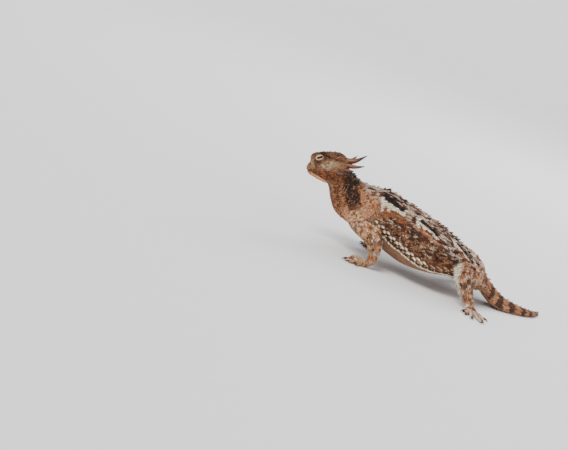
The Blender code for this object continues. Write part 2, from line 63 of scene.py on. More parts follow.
# Trunk stations: top x and z, bottom x and z, middle y, half width, level of the widest line
TRUNK = (
    (-20.0, 32.6, -23.4, 25.0, 0.0, 5.4, 0.50),
    (-16.0, 32.0, -21.4, 21.4, 0.0, 6.2, 0.50),
    (-10.8, 29.6, -19.0, 17.2, 0.0, 6.7, 0.50),
    (-4.5, 29.1, -15.2, 13.4, 0.0, 8.4, 0.50),
    (3.0, 29.7, -6.5, 10.6, 0.0, 12.6, 0.50),
    (11.0, 27.8, 4.5, 7.6, 0.0, 17.4, 0.49),
    (19.5, 25.9, 15.5, 4.6, 0.0, 20.6, 0.47),
    (28.0, 23.5, 26.0, 5.0, 0.0, 21.2, 0.40),
    (37.0, 20.2, 35.5, 6.8, 0.0, 18.6, 0.39),
    (45.5, 15.6, 43.5, 7.6, 0.0, 13.6, 0.42),
    (52.0, 11.0, 50.5, 4.8, 0.0, 9.4, 0.42),
    (57.5, 7.3, 56.5, 1.2, 0.3, 7.2, 0.38),
    (62.5, 5.0, 62.2, -0.2, 1.2, 5.2, 0.36),
    (68.0, 3.8, 68.0, -0.2, 3.0, 3.8, 0.36),
    (73.0, 3.0, 73.0, -0.2, 6.0, 2.8, 0.38),
    (77.0, 2.3, 77.0, -0.2, 10.2, 2.0, 0.40),
    (79.6, 1.7, 79.6, -0.2, 15.2, 1.3, 0.42),
    (81.0, 1.0, 81.0, -0.2, 20.2, 0.6, 0.45),
)
TRUNK_POWERS = (2.15, 2.5)

# Head stations in the head's own frame, x forward, y left and z up from its middle
HEAD = (
    (11.25, 0.9, 11.25, -0.5, 0.0, 0.9, 0.50),
    (10.95, 1.4, 11.00, -1.2, 0.0, 2.0, 0.48),
    (10.30, 2.2, 10.40, -1.9, 0.0, 3.0, 0.46),
    (9.35, 3.3, 9.80, -2.6, 0.0, 3.6, 0.46),
    (8.80, 5.0, 9.00, -3.1, 0.0, 4.3, 0.45),
    (7.60, 6.1, 7.60, -3.8, 0.0, 5.2, 0.44),
    (5.30, 6.55, 4.90, -5.3, 0.0, 6.4, 0.44),
    (2.00, 6.55, 1.80, -6.7, 0.0, 7.6, 0.45),
    (-1.00, 6.3, -1.20, -7.4, 0.0, 8.4, 0.47),
    (-3.00, 5.75, -3.30, -6.8, 0.0, 8.5, 0.48),
    (-3.90, 4.6, -4.50, -5.0, 0.0, 7.6, 0.48),
    (-4.60, 3.1, -5.10, -2.4, 0.0, 5.2, 0.50),
    (-5.00, 1.4, -5.30, -0.6, 0.0, 2.0, 0.50),
)
HEAD_POWERS = (2.7, 2.3)
HEAD_ORIGIN = (-22.5, 0.0, 30.3)
HEAD_PITCH = 21.0
HEAD_ROLL = 9.5
HEAD_YAW = 12.0
BROW = (((8.4, 2.2, 4.7), 0.5), ((7.7, 3.7, 5.3), 0.75), ((5.9, 4.9, 5.8), 0.85),
        ((4.0, 5.8, 5.6), 0.8), ((2.8, 6.5, 4.7), 0.45))
TEMPLE = (((3.2, 6.6, 4.5), 0.5), ((0.8, 7.6, 3.9), 0.7), ((-1.8, 8.0, 2.9), 0.85),
          ((-3.2, 7.4, 2.0), 0.6))

EYE_PLACE = (7.1, 3.0, 4.2)
EYE_RADIUS = 1.78
EYE_WIDTH = 1.60
LID_RADIUS = 2.12
LID_HALF = 0.26
LID_REACH = (2.25, 1.75)
LID_FRONT = 1.78
SOCKET_RADIUS = 1.95
# Rings of beads on the lids: share from slit to outline, number, size and colour
LID_BEADS = ((0.10, 36, 0.27, "lid"), (0.31, 34, 0.34, "fawn"), (0.55, 31, 0.42, "clay"),
             (0.75, 30, 0.43, "bark"))
SLIT = (1.5, 0.44, 0.5)
SLIT_TILT = 13.0
NOSTRIL = (10.25, 1.8, 1.6)
MOUTH_START = (11.05, -0.7)
MOUTH_CORNER = (5.9, -3.7)

# Horns in the head's frame, left side: root, bend, tip and root radius
HORNS = {
    "occipital_horn": ((-3.2, 3.1, 2.8), (-7.5, 5.3, 2.75), (-11.9, 8.2, 4.9), 1.6),
    "temporal_horn_1": ((-3.6, 6.1, 0.9), (-7.2, 7.8, 0.3), (-10.5, 9.0, 0.5), 1.15),
    "temporal_horn_2": ((-2.4, 7.4, -0.9), (-4.4, 8.8, -1.3), (-6.0, 9.7, -1.3), 0.95),
    "temporal_horn_3": ((0.2, 7.6, -2.2), (-1.3, 8.9, -2.6), (-2.5, 9.6, -2.8), 0.8),
}

# Legs: joints from inside the trunk to the foot's middle, with the radii there
LEGS = {
    "front_leg_left": ((-8.0, -4.5, 16.6), (-4.8, -12.4, 15.4), (1.6, -19.2, 12.4),
                       (3.8, -18.5, 7.4), (4.2, -17.4, 2.9), (1.6, -16.9, 1.2)),
    "front_leg_right": ((-8.0, 4.5, 16.6), (-4.2, 12.6, 15.4), (3.2, 19.4, 12.4),
                        (6.0, 18.6, 7.4), (7.0, 17.4, 2.9), (5.2, 19.0, 1.2)),
    "hind_leg_left": ((49.5, -2.0, 8.4), (46.5, -11.0, 10.6), (39.6, -20.6, 13.0),
                      (42.6, -22.4, 7.4), (46.0, -23.0, 2.7), (46.8, -26.2, 1.4)),
    "hind_leg_right": ((49.5, 2.0, 8.4), (46.8, 11.0, 10.4), (40.8, 20.8, 12.2),
                       (43.4, 23.0, 7.0), (45.8, 24.2, 2.7), (44.8, 27.4, 1.4)),
}
LEG_RADII = {"front": (4.2, 4.8, 3.6, 2.6, 1.8, 1.5), "hind": (2.9, 4.9, 3.8, 3.1, 2.1, 1.6)}
LEG_FLATTEN = 0.92
DIGITS = {
    "front": ((-34.0, 4.2), (-12.0, 6.2), (6.0, 7.2), (24.0, 6.6), (52.0, 4.6)),
    "hind": ((-48.0, 4.2), (-26.0, 6.6), (-6.0, 9.2), (14.0, 11.2), (42.0, 7.4)),
}
DIGIT_RADIUS = {"front": 0.72, "hind": 0.80}
FOOT_HEADING = {"front_leg_left": 8.0, "front_leg_right": 58.0,
                "hind_leg_left": 99.0, "hind_leg_right": 66.0}
RAISED_FINGER = ("front_leg_left", 1)
RAISED_HEIGHT = 2.6
PALM = (2.6, 2.4, 1.5)
CLAW_LENGTH = 1.9
FLAT_DEPTH = 0.14

# Rings along each form, and points round them
TRUNK_RINGS = (300, 120)
HEAD_RINGS = (70, 80)
LEG_RINGS = (110, 40)
TOE_RINGS = (28, 14)
HORN_RINGS = (44, 32)
CLAW_RINGS = (16, 12)

# Dark blotches beside the midline, seen from above: start and end as x and y, half width
BLOTCHES = (((2.0, 7.6), (9.0, 10.2), 1.45), ((17.6, 10.2), (24.6, 12.6), 1.3),
            ((34.6, 6.0), (39.4, 8.2), 1.45), ((45.6, 4.0), (48.8, 4.6), 1.0))
NECK_BLOTCH = ((-16.4, 33.0), (-9.8, 20.5), 3.2)
FRINGE_LINE = ((0.0, 18.3), (5.1, 16.5), (8.6, 15.2), (12.5, 14.0), (16.3, 12.7), (19.9, 11.4),
               (24.4, 10.6), (28.6, 10.8), (33.0, 11.6), (39.0, 11.8), (44.0, 11.0))
FRINGE_DIMS = 24.0

# Spines: degrees from the midline, then start, end and step along the trunk
BACK_SPINE_ANGLES = (-69, -57, -45, -33, -21, -8, 8, 21, 33, 45, 57, 69)
BACK_SPINE_SPAN = (21.0, 72.0, 2.9)
NECK_SPINE_ANGLES = (-75, -45, -20, 0, 20, 45, 75)
NECK_SPINE_SPAN = (6.0, 21.0, 2.6)
TAIL_SPINE_ANGLES = (-92, -60, -28, 28, 60, 92)
TAIL_SPINE_SPAN = (74.0, 109.0)

# Small scales of the trunk: piece, kind, share along, share round and spacing
TRUNK_AREAS = (
    ("neck_scales", "granule", (0.0, 0.215), (0.0, 1.0), 0.52),
    ("back_scales", "granule", (0.215, 0.66), (-0.06, 0.56), 0.60),
    ("belly_scales", "square", (0.20, 0.66), (0.56, 0.94), 0.62),
    ("tail_scales", "keeled", (0.66, 0.995), (0.0, 1.0), 0.85),
)
TRUNK_SIZES = {"granule": (1.12, 1.06, 0.85), "square": (0.98, 0.98, 0.34),
               "keeled": (1.25, 1.1, 0.8)}

# Colours as the eye reads them, red, green and blue from 0 to 1
PALETTE = {
    "sand": (0.68, 0.54, 0.41), "rust": (0.62, 0.36, 0.20), "bark": (0.36, 0.24, 0.165),
    "umber": (0.19, 0.115, 0.08), "soot": (0.07, 0.045, 0.035), "ash": (0.76, 0.71, 0.65),
    "cream": (0.90, 0.84, 0.74), "belly": (0.60, 0.49, 0.40), "clay": (0.50, 0.31, 0.19),
    "horn": (0.50, 0.28, 0.16), "horn_tip": (0.10, 0.055, 0.04), "lid": (0.76, 0.65, 0.53),
    "lip": (0.74, 0.52, 0.35), "claw": (0.13, 0.09, 0.07), "fawn": (0.80, 0.67, 0.53),
}
# The skin between the scales is painted this much darker than the markings: painted shade in
# the gaps between scales
SKIN_SHADE = 0.4

# What each region's colours are multiplied by, red, green and blue
GAINS = {
    "back": (0.66, 0.51, 0.44),
    "flank": (0.58, 0.44, 0.36),
    "neck": (0.98, 0.77, 0.65),
    "shoulder": (0.96, 0.76, 0.68),
    "belly": (0.70, 0.59, 0.52),
    "head": (0.80, 0.66, 0.54),
    "front": (1.04, 0.86, 0.72),
    "hind": (0.94, 0.72, 0.60),
    "horn": (0.62, 0.47, 0.38),
}

HORN_SHADE = {"occipital_horn": 1.0, "temporal_horn_1": 0.9, "temporal_horn_2": 0.5,
              "temporal_horn_3": 0.45}

# Finishes: roughness, specular level, then the darkest and lightest mottling and its scale,
# then the scale, strength and depth in metres of the fine bump
FINISHES = {
    "lizard_skin": (0.72, 0.24, (0.82, 1.18, 2600.0), (5200.0, 0.35, 0.00006)),
    "lizard_scales": (0.62, 0.24, (0.85, 1.15, 2600.0), (5200.0, 0.35, 0.00006)),
    "horn_keratin": (0.42, 0.5, (0.75, 1.2, 1500.0), (3000.0, 0.3, 0.00005)),
}

# Cells of the bake unwrap: left, bottom, width and height for each family of forms
CELLS = {
    "trunk": (0.01, 0.01, 0.98, 0.46), "head": (0.01, 0.49, 0.38, 0.24),
    "front_leg_left": (0.41, 0.49, 0.28, 0.24), "front_leg_right": (0.71, 0.49, 0.28, 0.24),
    "hind_leg_left": (0.01, 0.75, 0.38, 0.24), "hind_leg_right": (0.41, 0.75, 0.38, 0.24),
}


def curve(rows, at):
    """Rows of numbers at places between the rows, on a smooth curve through them."""
    rows = np.asarray(rows, float)
    at = np.clip(np.asarray(at, float), 0.0, len(rows) - 1.0)
    low = np.minimum(at.astype(int), len(rows) - 2)
    part = (at - low)[..., None]
    before, start = rows[np.maximum(low - 1, 0)], rows[low]
    end, after = rows[low + 1], rows[np.minimum(low + 2, len(rows) - 1)]
    bend = (end - before) * part + (2 * before - 5 * start + 4 * end - after) * part ** 2
    return start + 0.5 * (bend + (3 * start - before - 3 * end + after) * part ** 3)


def unit(vectors):
    """Vectors brought to length one."""
    return vectors / np.maximum(np.linalg.norm(vectors, axis=-1, keepdims=True), 1e-9)


def fade(value, start, end):
    """Smooth step from 0 at the start to 1 at the end."""
    share = np.clip((value - start) / (end - start), 0.0, 1.0)
    return share * share * (3.0 - 2.0 * share)


def grain(points, size, seed=0):
    """Smooth noise from -1 to 1 whose bumps are about a size across."""
    cell = points / size + seed * 17.31
    low = np.floor(cell).astype(np.int64)
    part = cell - low
    part = part * part * (3.0 - 2.0 * part)
    total = np.zeros(len(points))
    for corner in itertools.product((0, 1), repeat=3):
        x, y, z = (low + corner).T
        mixed = (x * 73856093) ^ (y * 19349663) ^ (z * 83492791)
        mixed = ((mixed ^ (mixed >> 13)) * 1274126177) & 0xFFFFFFFF
        mixed = (mixed ^ (mixed >> 16)) & 0xFFFF
        weight = np.prod(np.where(corner, part, 1.0 - part), axis=1)
        total += weight * (mixed / 32767.5 - 1.0)
    return total


def grains(points, sizes, seed):
    """Noises of several sizes, each from the next seed."""
    return [grain(points, size, seed + number) for number, size in enumerate(sizes)]


def head_matrix():
    """Place of the head: level to the viewer while the body follows the ground."""
    turn = Matrix.Rotation(math.radians(-HEAD_ROLL), 4, "X")
    turn = turn @ Matrix.Rotation(math.radians(-HEAD_PITCH), 4, "Y")
    turn = turn @ Matrix.Rotation(math.radians(180.0 + HEAD_YAW), 4, "Z")
    return Matrix.Translation(HEAD_ORIGIN) @ turn


HEAD_PLACE = head_matrix()
HEAD_BACK = np.array(HEAD_PLACE.inverted())


def from_head(points):
    """Points of the head's own frame brought to the animal's frame."""
    place = np.array(HEAD_PLACE)
    return np.asarray(points, float) @ place[:3, :3].T + place[:3, 3]


def to_head(points):
    """Points of the animal's frame brought to the head's own."""
    return points @ HEAD_BACK[:3, :3].T + HEAD_BACK[:3, 3]


def turn_from_head(vectors):
    """Ways of the head's own frame turned to the animal's."""
    return np.asarray(vectors, float) @ np.array(HEAD_PLACE)[:3, :3].T


def to_frame_shift():
    """The move from the animal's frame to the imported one, from the left eye's place."""
    low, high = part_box("eye_left")
    known = HEAD_PLACE @ Vector(EYE_PLACE) * MM
    shift = (Vector(low) + Vector(high)) / 2 - known
    return np.array((shift.x, shift.y, 0.0))


SHIFT = to_frame_shift()


class Form:
    """A limb or trunk as closed rings of points an even distance apart along it."""

    def __init__(self, rings, cell=None):
        self.rings = rings
        self.cell = cell
        self.middles = rings.mean(axis=1)
        steps = np.linalg.norm(np.diff(self.middles, axis=0), axis=1)
        self.length = steps.sum()

    def point(self, along, around):
        """Points at shares along and around, read between the rings."""
        rows, sides = len(self.rings) - 1, self.rings.shape[1]
        x = np.clip(along, 0.0, 1.0) * rows
        y = np.mod(around, 1.0) * sides
        i = np.minimum(x.astype(int), rows - 1)
        j = y.astype(int) % sides
        beside = (j + 1) % sides
        u, v = (x - i)[:, None], (y - np.floor(y))[:, None]
        first = self.rings[i, j] * (1 - v) + self.rings[i, beside] * v
        second = self.rings[i + 1, j] * (1 - v) + self.rings[i + 1, beside] * v
        return first * (1 - u) + second * u

    def middle(self, along):
        """Points of the line through the rings' middles."""
        x = np.clip(along, 0.0, 1.0) * (len(self.rings) - 1)
        i = np.minimum(x.astype(int), len(self.rings) - 2)
        u = (x - i)[:, None]
        return self.middles[i] * (1 - u) + self.middles[i + 1] * u

    def seat(self, along, around):
        """Surface points, outward normals and the way towards the form's end."""
        here = self.point(along, around)
        step = 0.6 / self.length
        lie = unit(self.point(along + step, around) - self.point(along - step, around))
        across = self.point(along, around + 0.012) - self.point(along, around - 0.012)
        normal = unit(np.cross(across, lie))
        away = np.sum(normal * (here - self.middle(along)), axis=1) < 0
        normal[away] *= -1
        return here, normal, lie

    def girth(self, along):
        """Length round the form at shares along it."""
        loops = np.linalg.norm(self.rings - np.roll(self.rings, 1, axis=1), axis=2).sum(axis=1)
        return np.interp(along, np.linspace(0.0, 1.0, len(loops)), loops)

    def ring_places(self, along, arc, spacing, offset):
        """Shares round one ring, an even distance apart within an arc."""
        sides = self.rings.shape[1]
        shares = np.arange(-sides, 2 * sides + 1) / sides
        line = self.point(np.full(len(shares), along), shares)
        steps = np.concatenate([[0.0], np.linalg.norm(np.diff(line, axis=0), axis=1).cumsum()])
        begin, end = np.interp(arc, shares, steps)
        number = max(int(round((end - begin) / spacing)), 1)
        at = begin + (np.arange(number) + 0.25 + offset) / number * (end - begin)
        return np.interp(at, steps, shares)

    def rows(self, span, spacing, arc=(0.0, 1.0), squeeze=0.87):
        """Shares of scales in staggered rings that cover a span of the form."""
        count = max(int(round(self.length * (span[1] - span[0]) / (spacing * squeeze))), 1)
        along, around = [], []
        for row in range(count + 1):
            share = span[0] + (span[1] - span[0]) * row / count
            places = self.ring_places(share, arc, spacing, 0.5 * (row % 2))
            around.append(places)
            along.append(np.full(len(places), share))
        return np.concatenate(along), np.concatenate(around)


def even_shares(line, count):
    """Places in a row of points that lie an even distance apart along it."""
    steps = np.concatenate([[0.0], np.linalg.norm(np.diff(line, axis=0), axis=1).cumsum()])
    return np.interp(np.linspace(0.0, steps[-1], count), steps, np.arange(len(line)))


def sections(stations, at):
    """Tops, bottoms, points of the widest line and half widths at places between stations."""
    row = curve(stations, at)
    tops, bottoms = row[:, [0, 4, 1]], row[:, [2, 4, 3]]
    return tops, bottoms, bottoms + (tops - bottoms) * row[:, 6:7], row[:, 5]


def loft_rings(stations, powers, count, sides, grow):
    """Rings round the stations' widest line, with the sections of a rounded box."""
    dense = np.linspace(0.0, len(stations) - 1.0, 400)
    at = np.interp(even_shares(sections(stations, dense)[2], count), np.arange(400), dense)
    tops, bottoms, middles, halves = sections(stations, at)
    ahead = np.gradient(middles, axis=0)
    left = unit(np.stack([ahead[:, 1], -ahead[:, 0], np.zeros(count)], axis=1))
    turn = np.arange(sides) / sides * math.tau
    across, rise = np.cos(turn), np.sin(turn)
    power = 2.0 / np.where(rise >= 0, powers[0], powers[1])
    side = np.sign(across) * np.abs(across) ** power
    height = np.abs(rise) ** power
    arms = np.where((rise >= 0)[None, :, None], (tops - middles)[:, None],
                    (bottoms - middles)[:, None])
    reach = np.linalg.norm(arms, axis=2, keepdims=True)
    width = np.maximum(halves + grow, 0.15)[:, None, None]
    outward = unit(arms) * height[None, :, None] * np.maximum(reach + grow, 0.15)
    return middles[:, None] + left[:, None] * side[None, :, None] * width + outward


def tube_rings(path, radii, count, sides, grow, flatten=1.0):
    """Rings round a smooth path, kept from twisting along it."""
    rows = np.column_stack([np.asarray(path, float), np.asarray(radii, float)])
    dense = np.linspace(0.0, len(rows) - 1.0, 300)
    at = np.interp(even_shares(curve(rows, dense)[:, :3], count), np.arange(300), dense)
    row = curve(rows, at)
    ahead = unit(np.gradient(row[:, :3], axis=0))
    side = unit(np.cross(ahead[0], (0.0, 0.0, 1.0)))
    turn = (np.arange(sides) / sides * math.tau)[:, None]
    rings = []
    for centre, radius, way in zip(row[:, :3], row[:, 3], ahead):
        side = unit(side - way * np.dot(side, way))
        rise = np.cross(side, way)
        size = max(radius + grow, 0.1)
        rings.append(centre + (side * np.cos(turn) + rise * np.sin(turn) * flatten) * size)
    return np.array(rings)


def digit_line(leg, number):
    """A toe's path and radii, from the foot's middle along the floor."""
    kind = leg.split("_")[0]
    offset, length = DIGITS[kind][number]
    way = 1.0 if leg.endswith("left") else -1.0
    heading = math.radians(FOOT_HEADING[leg] + offset) * way
    ahead = np.array((-math.cos(heading), -math.sin(heading), 0.0))
    radius = DIGIT_RADIUS[kind]
    root = np.array(LEGS[leg][-1])
    raised = (leg, number) == RAISED_FINGER
    arch = RAISED_HEIGHT if raised else radius * 1.15
    path = [root + ahead * length * share for share in (0.0, 0.35, 0.72, 1.0)]
    heights = (root[2], max(arch, root[2] * 0.9), arch * (0.9 if raised else 0.85),
               radius - FLAT_DEPTH)
    path = [np.array((point[0], point[1], z)) for point, z in zip(path, heights)]
    return path, [radius * share for share in (1.25, 1.1, 1.0, 0.85)], ahead


def knuckles(rings, count):
    """Swell a toe at its joints."""
    middles = rings.mean(axis=1, keepdims=True)
    share = np.linspace(0.0, 1.0, len(rings))[:, None, None]
    swell = 1.0 + 0.09 * np.cos(share * count * math.tau)
    return middles + (rings - middles) * swell


def make_forms():
    """All the flesh forms by family, at the depth of the skin."""
    grow = -SKIN_DEPTH
    trunk = loft_rings(TRUNK, TRUNK_POWERS, *TRUNK_RINGS, grow)
    head = from_head(loft_rings(HEAD, HEAD_POWERS, *HEAD_RINGS, grow))
    families = {"trunk": [Form(trunk, CELLS["trunk"])], "head": [Form(head, CELLS["head"])]}
    for leg, path in LEGS.items():
        kind = leg.split("_")[0]
        left, bottom, width, height = CELLS[leg]
        rings = tube_rings(path, LEG_RADII[kind], *LEG_RINGS, grow, LEG_FLATTEN)
        forms = [Form(rings, (left, bottom, width * 0.7, height))]
        for number in range(len(DIGITS[kind])):
            line, sizes, _ = digit_line(leg, number)
            rings = knuckles(tube_rings(line, sizes, *TOE_RINGS, grow * 0.6), 3)
            step = height / 5
            cell = (left + width * 0.72, bottom + number * step, width * 0.28, step * 0.9)
            forms.append(Form(rings, cell))
        families[leg] = forms
    return families


def points_of(item):
    """Corner points of an object's mesh."""
    co = np.empty(len(item.data.vertices) * 3, np.float32)
    item.data.vertices.foreach_get("co", co)
    return co.reshape(-1, 3).astype(float)


def set_points(item, points):
    """Move the corner points of an object's mesh."""
    item.data.vertices.foreach_set("co", np.asarray(points, np.float32).ravel())
    item.data.update()


def normals_of(item):
    """Normals at the corner points of an object's mesh."""
    normals = np.empty(len(item.data.vertices) * 3, np.float32)
    item.data.vertices.foreach_get("normal", normals)
    return normals.reshape(-1, 3).astype(float)


def select_only(*items):
    """Select these objects and no others, with the last one active."""
    bpy.ops.object.select_all(action="DESELECT")
    for item in items:
        item.select_set(True)
    bpy.context.view_layer.objects.active = items[-1]


def face_outward(item):
    """Turn all the faces of a closed piece outwards."""
    select_only(item)
    bpy.ops.object.mode_set(mode="EDIT")
    bpy.ops.mesh.select_all(action="SELECT")
    bpy.ops.mesh.normals_make_consistent(inside=False)
    bpy.ops.object.mode_set(mode="OBJECT")


def new_ball(name, segments, rings):
    """A unit sphere of its own, the start of a drawn-out form."""
    bpy.ops.object.select_all(action="DESELECT")
    bpy.ops.mesh.primitive_uv_sphere_add(segments=segments, ring_count=rings, radius=1.0)
    item = bpy.context.object
    item.name = name
    item.data.name = name
    return item


def draw_out(name, form, segments, rings):
    """A sphere drawn out along a form, with its poles at the form's two ends."""
    item = new_ball(name, segments, rings)
    points = points_of(item)
    height = np.arccos(np.clip(points[:, 2], -1.0, 1.0)) / math.pi * rings
    along = np.clip((height - 1.0) / (rings - 2.0), 0.0, 1.0)
    around = np.arctan2(points[:, 1], points[:, 0]) / math.tau
    poles = np.hypot(points[:, 0], points[:, 1]) < 1e-4
    placed = form.point(along, around)
    placed[poles] = form.middle(along)[poles]
    set_points(item, placed)
    face_outward(item)
    return item


def lump(name, centre, halves):
    """A stretched ball of flesh."""
    item = new_ball(name, 28, 18)
    set_points(item, points_of(item) * halves + centre)
    return item


def smooth_over(points, edges, weights, times, back=0.0):
    """Relax points towards their neighbours, with a step back that keeps thin parts full."""
    count = np.bincount(edges.ravel(), minlength=len(points))[:, None]
    for _ in range(times):
        for factor in (0.5, -back):
            if factor == 0.0:
                continue
            total = np.zeros_like(points)
            for axis in range(3):
                total[:, axis] = (
                    np.bincount(edges[:, 0], points[edges[:, 1], axis], len(points))
                    + np.bincount(edges[:, 1], points[edges[:, 0], axis], len(points)))
            points = points + (total / count - points) * factor * weights[:, None]
    return points


class Family:
    """Finds where on a family's forms a point of the skin lies."""

    def __init__(self, forms):
        tables = []
        for number, form in enumerate(forms):
            rows, sides = form.rings.shape[:2]
            along = np.repeat(np.arange(rows) / (rows - 1), sides)
            around = np.tile(np.arange(sides) / sides, rows)
            here, normal, _ = form.seat(along, around)
            index = np.full(len(here), number)
            tables.append(np.column_stack([here, normal, along, around, index]))
        table = np.concatenate(tables)
        self.points, self.normals = table[:, :3], table[:, 3:6]
        self.along, self.around, self.index = table[:, 6], table[:, 7], table[:, 8]
        self.tree = KDTree(len(self.points))
        for number, point in enumerate(self.points):
            self.tree.insert(point, number)
        self.tree.balance()

    def find(self, points, reach=4.0):
        """Nearest grid place and its distance, or a far one where none is near."""
        low, high = self.points.min(axis=0) - reach, self.points.max(axis=0) + reach
        near = np.flatnonzero(np.all((points > low) & (points < high), axis=1))
        found = np.zeros(len(points), int)
        distance = np.full(len(points), 99.0)
        for k in near:
            _, number, gap = self.tree.find(points[k])
            found[k] = number
            distance[k] = gap
        return found, distance


def colour(name):
    """A palette colour as the linear light that shaders take."""
    value = np.array(PALETTE[name])
    return np.where(value <= 0.04045, value / 12.92, ((value + 0.055) / 1.055) ** 2.4)


def blend(first, second, share):
    """Colours between two, by a share from 0 to 1."""
    return first + (second - first) * np.clip(share, 0.0, 1.0)[:, None]


def paint(tint, name, share):
    """Colours moved a share of the way to one of the palette."""
    return blend(tint, colour(name), share)


def scribble(points, size, width, seed):
    """Thin wavy lines, 1 on a line and 0 away from it."""
    value = grain(points, size, seed) + 0.35 * grain(points, size * 0.5, seed + 1)
    return np.clip(1.0 - np.abs(value) / width, 0.0, 1.0)


def near_line(x, y, start, end):
    """Distance of points from a straight line's piece."""
    start, end = np.array(start), np.array(end)
    way = end - start
    share = ((x - start[0]) * way[0] + (y - start[1]) * way[1]) / np.dot(way, way)
    share = np.clip(share, 0.0, 1.0)
    return np.hypot(x - start[0] - share * way[0], y - start[1] - share * way[1])


def toned(tint, region):
    """Colours brought to the level of one region."""
    return tint * np.array(GAINS[region])


def flat_tint(points, name):
    """One palette colour for every point."""
    return np.tile(colour(name), (len(points), 1))


def back_tint(points, side):
    """Grey and rust streaks along the back, with dark wavy flanks below them."""
    coarse, middle, fine, dots = grains(points, (3.2, 1.5, 0.75, 0.42), 1)
    streaks = grain(points * (0.32, 1.0, 1.0), 0.95, 6) + 0.3 * fine
    tint = paint(flat_tint(points, "umber"), "bark", 0.5 + 0.8 * middle)
    tint = paint(tint, "sand", fade(streaks + 0.25 * coarse, -0.12, 0.3) * 0.85)
    tint = paint(tint, "rust", fade(fine + 0.7 * coarse, 0.15, 0.55) * 0.5)
    tint = toned(tint, "back")
    tint = paint(tint, "ash", fade(streaks + 0.5 * dots, 0.1, 0.42) * 0.8)
    tint = paint(tint, "soot", fade(-streaks - 0.4 * dots, 0.3, 0.6) * 0.8)
    bent = points + np.stack([middle, coarse, middle], axis=1) * (0.5, 0.4, 0.5)
    bent = bent * (0.5, 0.9, 1.15)
    flank = fade(side + 5.0 * coarse, 48.0, 60.0)
    dark = paint(flat_tint(points, "umber"), "bark", 0.6 + 0.8 * middle)
    dark = paint(dark, "soot", fade(-middle - 0.5 * fine, 0.22, 0.6) * 0.7)
    dark = paint(dark, "sand", scribble(bent, 1.05, 0.34, 5) * 0.95)
    dark = paint(dark, "rust", fade(fine + coarse * 0.7, 0.28, 0.6) * 0.35)
    dark = toned(dark, "flank")
    dark = paint(dark, "cream", fade(scribble(bent, 1.9, 0.13, 8), 0.3, 0.9) * 0.4)
    return blend(tint, dark, flank)


def blotch_marks(tint, points):
    """Paired dark blotches, each with a white rim below and in front, then rust."""
    x, y, z = points.T
    y = np.abs(y)
    above = fade(z, 7.0, 10.0)
    wobble = 0.45 * grain(points, 1.6, 11) + 0.3 * grain(points, 0.7, 12)
    for start, end, half in BLOTCHES:
        rust = near_line(x, y, (start[0] + 0.4, start[1] + 4.9), (end[0] + 1.4, end[1] + 4.3))
        rim = near_line(x, y, (start[0] - 0.8, start[1] + 2.5), (end[0] + 0.8, end[1] + 2.3))
        finger = near_line(x, y, (start[0] - 2.1, start[1] + 0.4),
                           (start[0] - 0.8, start[1] + 4.6))
        second = near_line(x, y, (start[0] + 0.9, start[1] + 2.5),
                           (start[0] + 1.6, start[1] + 4.9))
        rusty = 1.0 - fade(rust + wobble, 1.1, 2.0)
        pale = 1.0 - fade(np.minimum(rim, np.minimum(finger, second) + 0.15) + wobble * 0.7,
                          0.62, 0.95)
        shade = 1.0 - fade(rim + wobble, 1.4, 2.4)
        dark = 1.0 - fade(near_line(x, y, start, end) + wobble * 0.8, half * 0.8, half * 1.05)
        tint = paint(tint, "rust", rusty * above * 0.5)
        tint = paint(tint, "bark", shade * above * 0.7)
        tint = paint(tint, "cream", pale * above * 0.92)
        tint = paint(tint, "soot", dark * above)
    return tint


def neck_marks(tint, points, side):
    """Dark scribbled neck with a pale nape, above a lighter, rusty shoulder and throat."""
    x, _, z = points.T
    coarse, middle, fine = grains(points, (2.8, 1.3, 0.6), 22)
    bent = points + np.stack([middle, middle, coarse], axis=1) * 0.5
    shoulder = paint(flat_tint(points, "sand"), "fawn", 0.5 + 0.6 * middle)
    shoulder = paint(shoulder, "rust", scribble(bent * (1.0, 1.0, 1.4), 1.3, 0.3, 25) * 0.8)
    shoulder = paint(shoulder, "umber", fade(-fine - 0.4 * coarse, 0.2, 0.5) * 0.8)
    front = (1.0 - fade(x + 0.35 * (z - 18.0), -1.0, 4.5)) * fade(side, 36.0, 60.0)
    tint = blend(tint, toned(shoulder, "shoulder"), front)
    neck = 1.0 - fade(x - 0.45 * (z - 22.0) + 0.8 * middle, -12.5, -9.5)
    brown = paint(flat_tint(points, "bark"), "clay", 0.4 + 0.6 * middle)
    brown = paint(brown, "umber", fade(-fine, 0.1, 0.5) * 0.7)
    brown = paint(brown, "sand", scribble(bent * (1.4, 1.0, 0.7), 1.2, 0.32, 26) * 0.85)
    tint = blend(tint, toned(brown, "neck"), neck)
    start, end, half = NECK_BLOTCH
    reach = near_line(x, z, start, end) + 0.7 * middle + 0.3 * fine
    dark = (1.0 - fade(reach, half * 0.78, half * 1.02)) * (1.0 - fade(side, 118.0, 140.0))
    inky = paint(flat_tint(points, "soot"), "umber", 0.45 + 0.8 * middle)
    inky = paint(inky, "sand", scribble(bent * (1.5, 1.0, 0.75), 0.95, 0.2, 27) * 0.55)
    tint = blend(tint, toned(inky, "neck"), dark)
    nape = (1.0 - fade(side, 9.0, 18.0)) * fade(x, -17.0, -6.0) * (1.0 - fade(x, -4.0, 1.0))
    return paint(tint, "ash", nape * (0.45 + 0.4 * fine))


def fringe_height(x):
    """Height of the fringe along the flank."""
    return np.interp(x, *np.array(FRINGE_LINE).T)


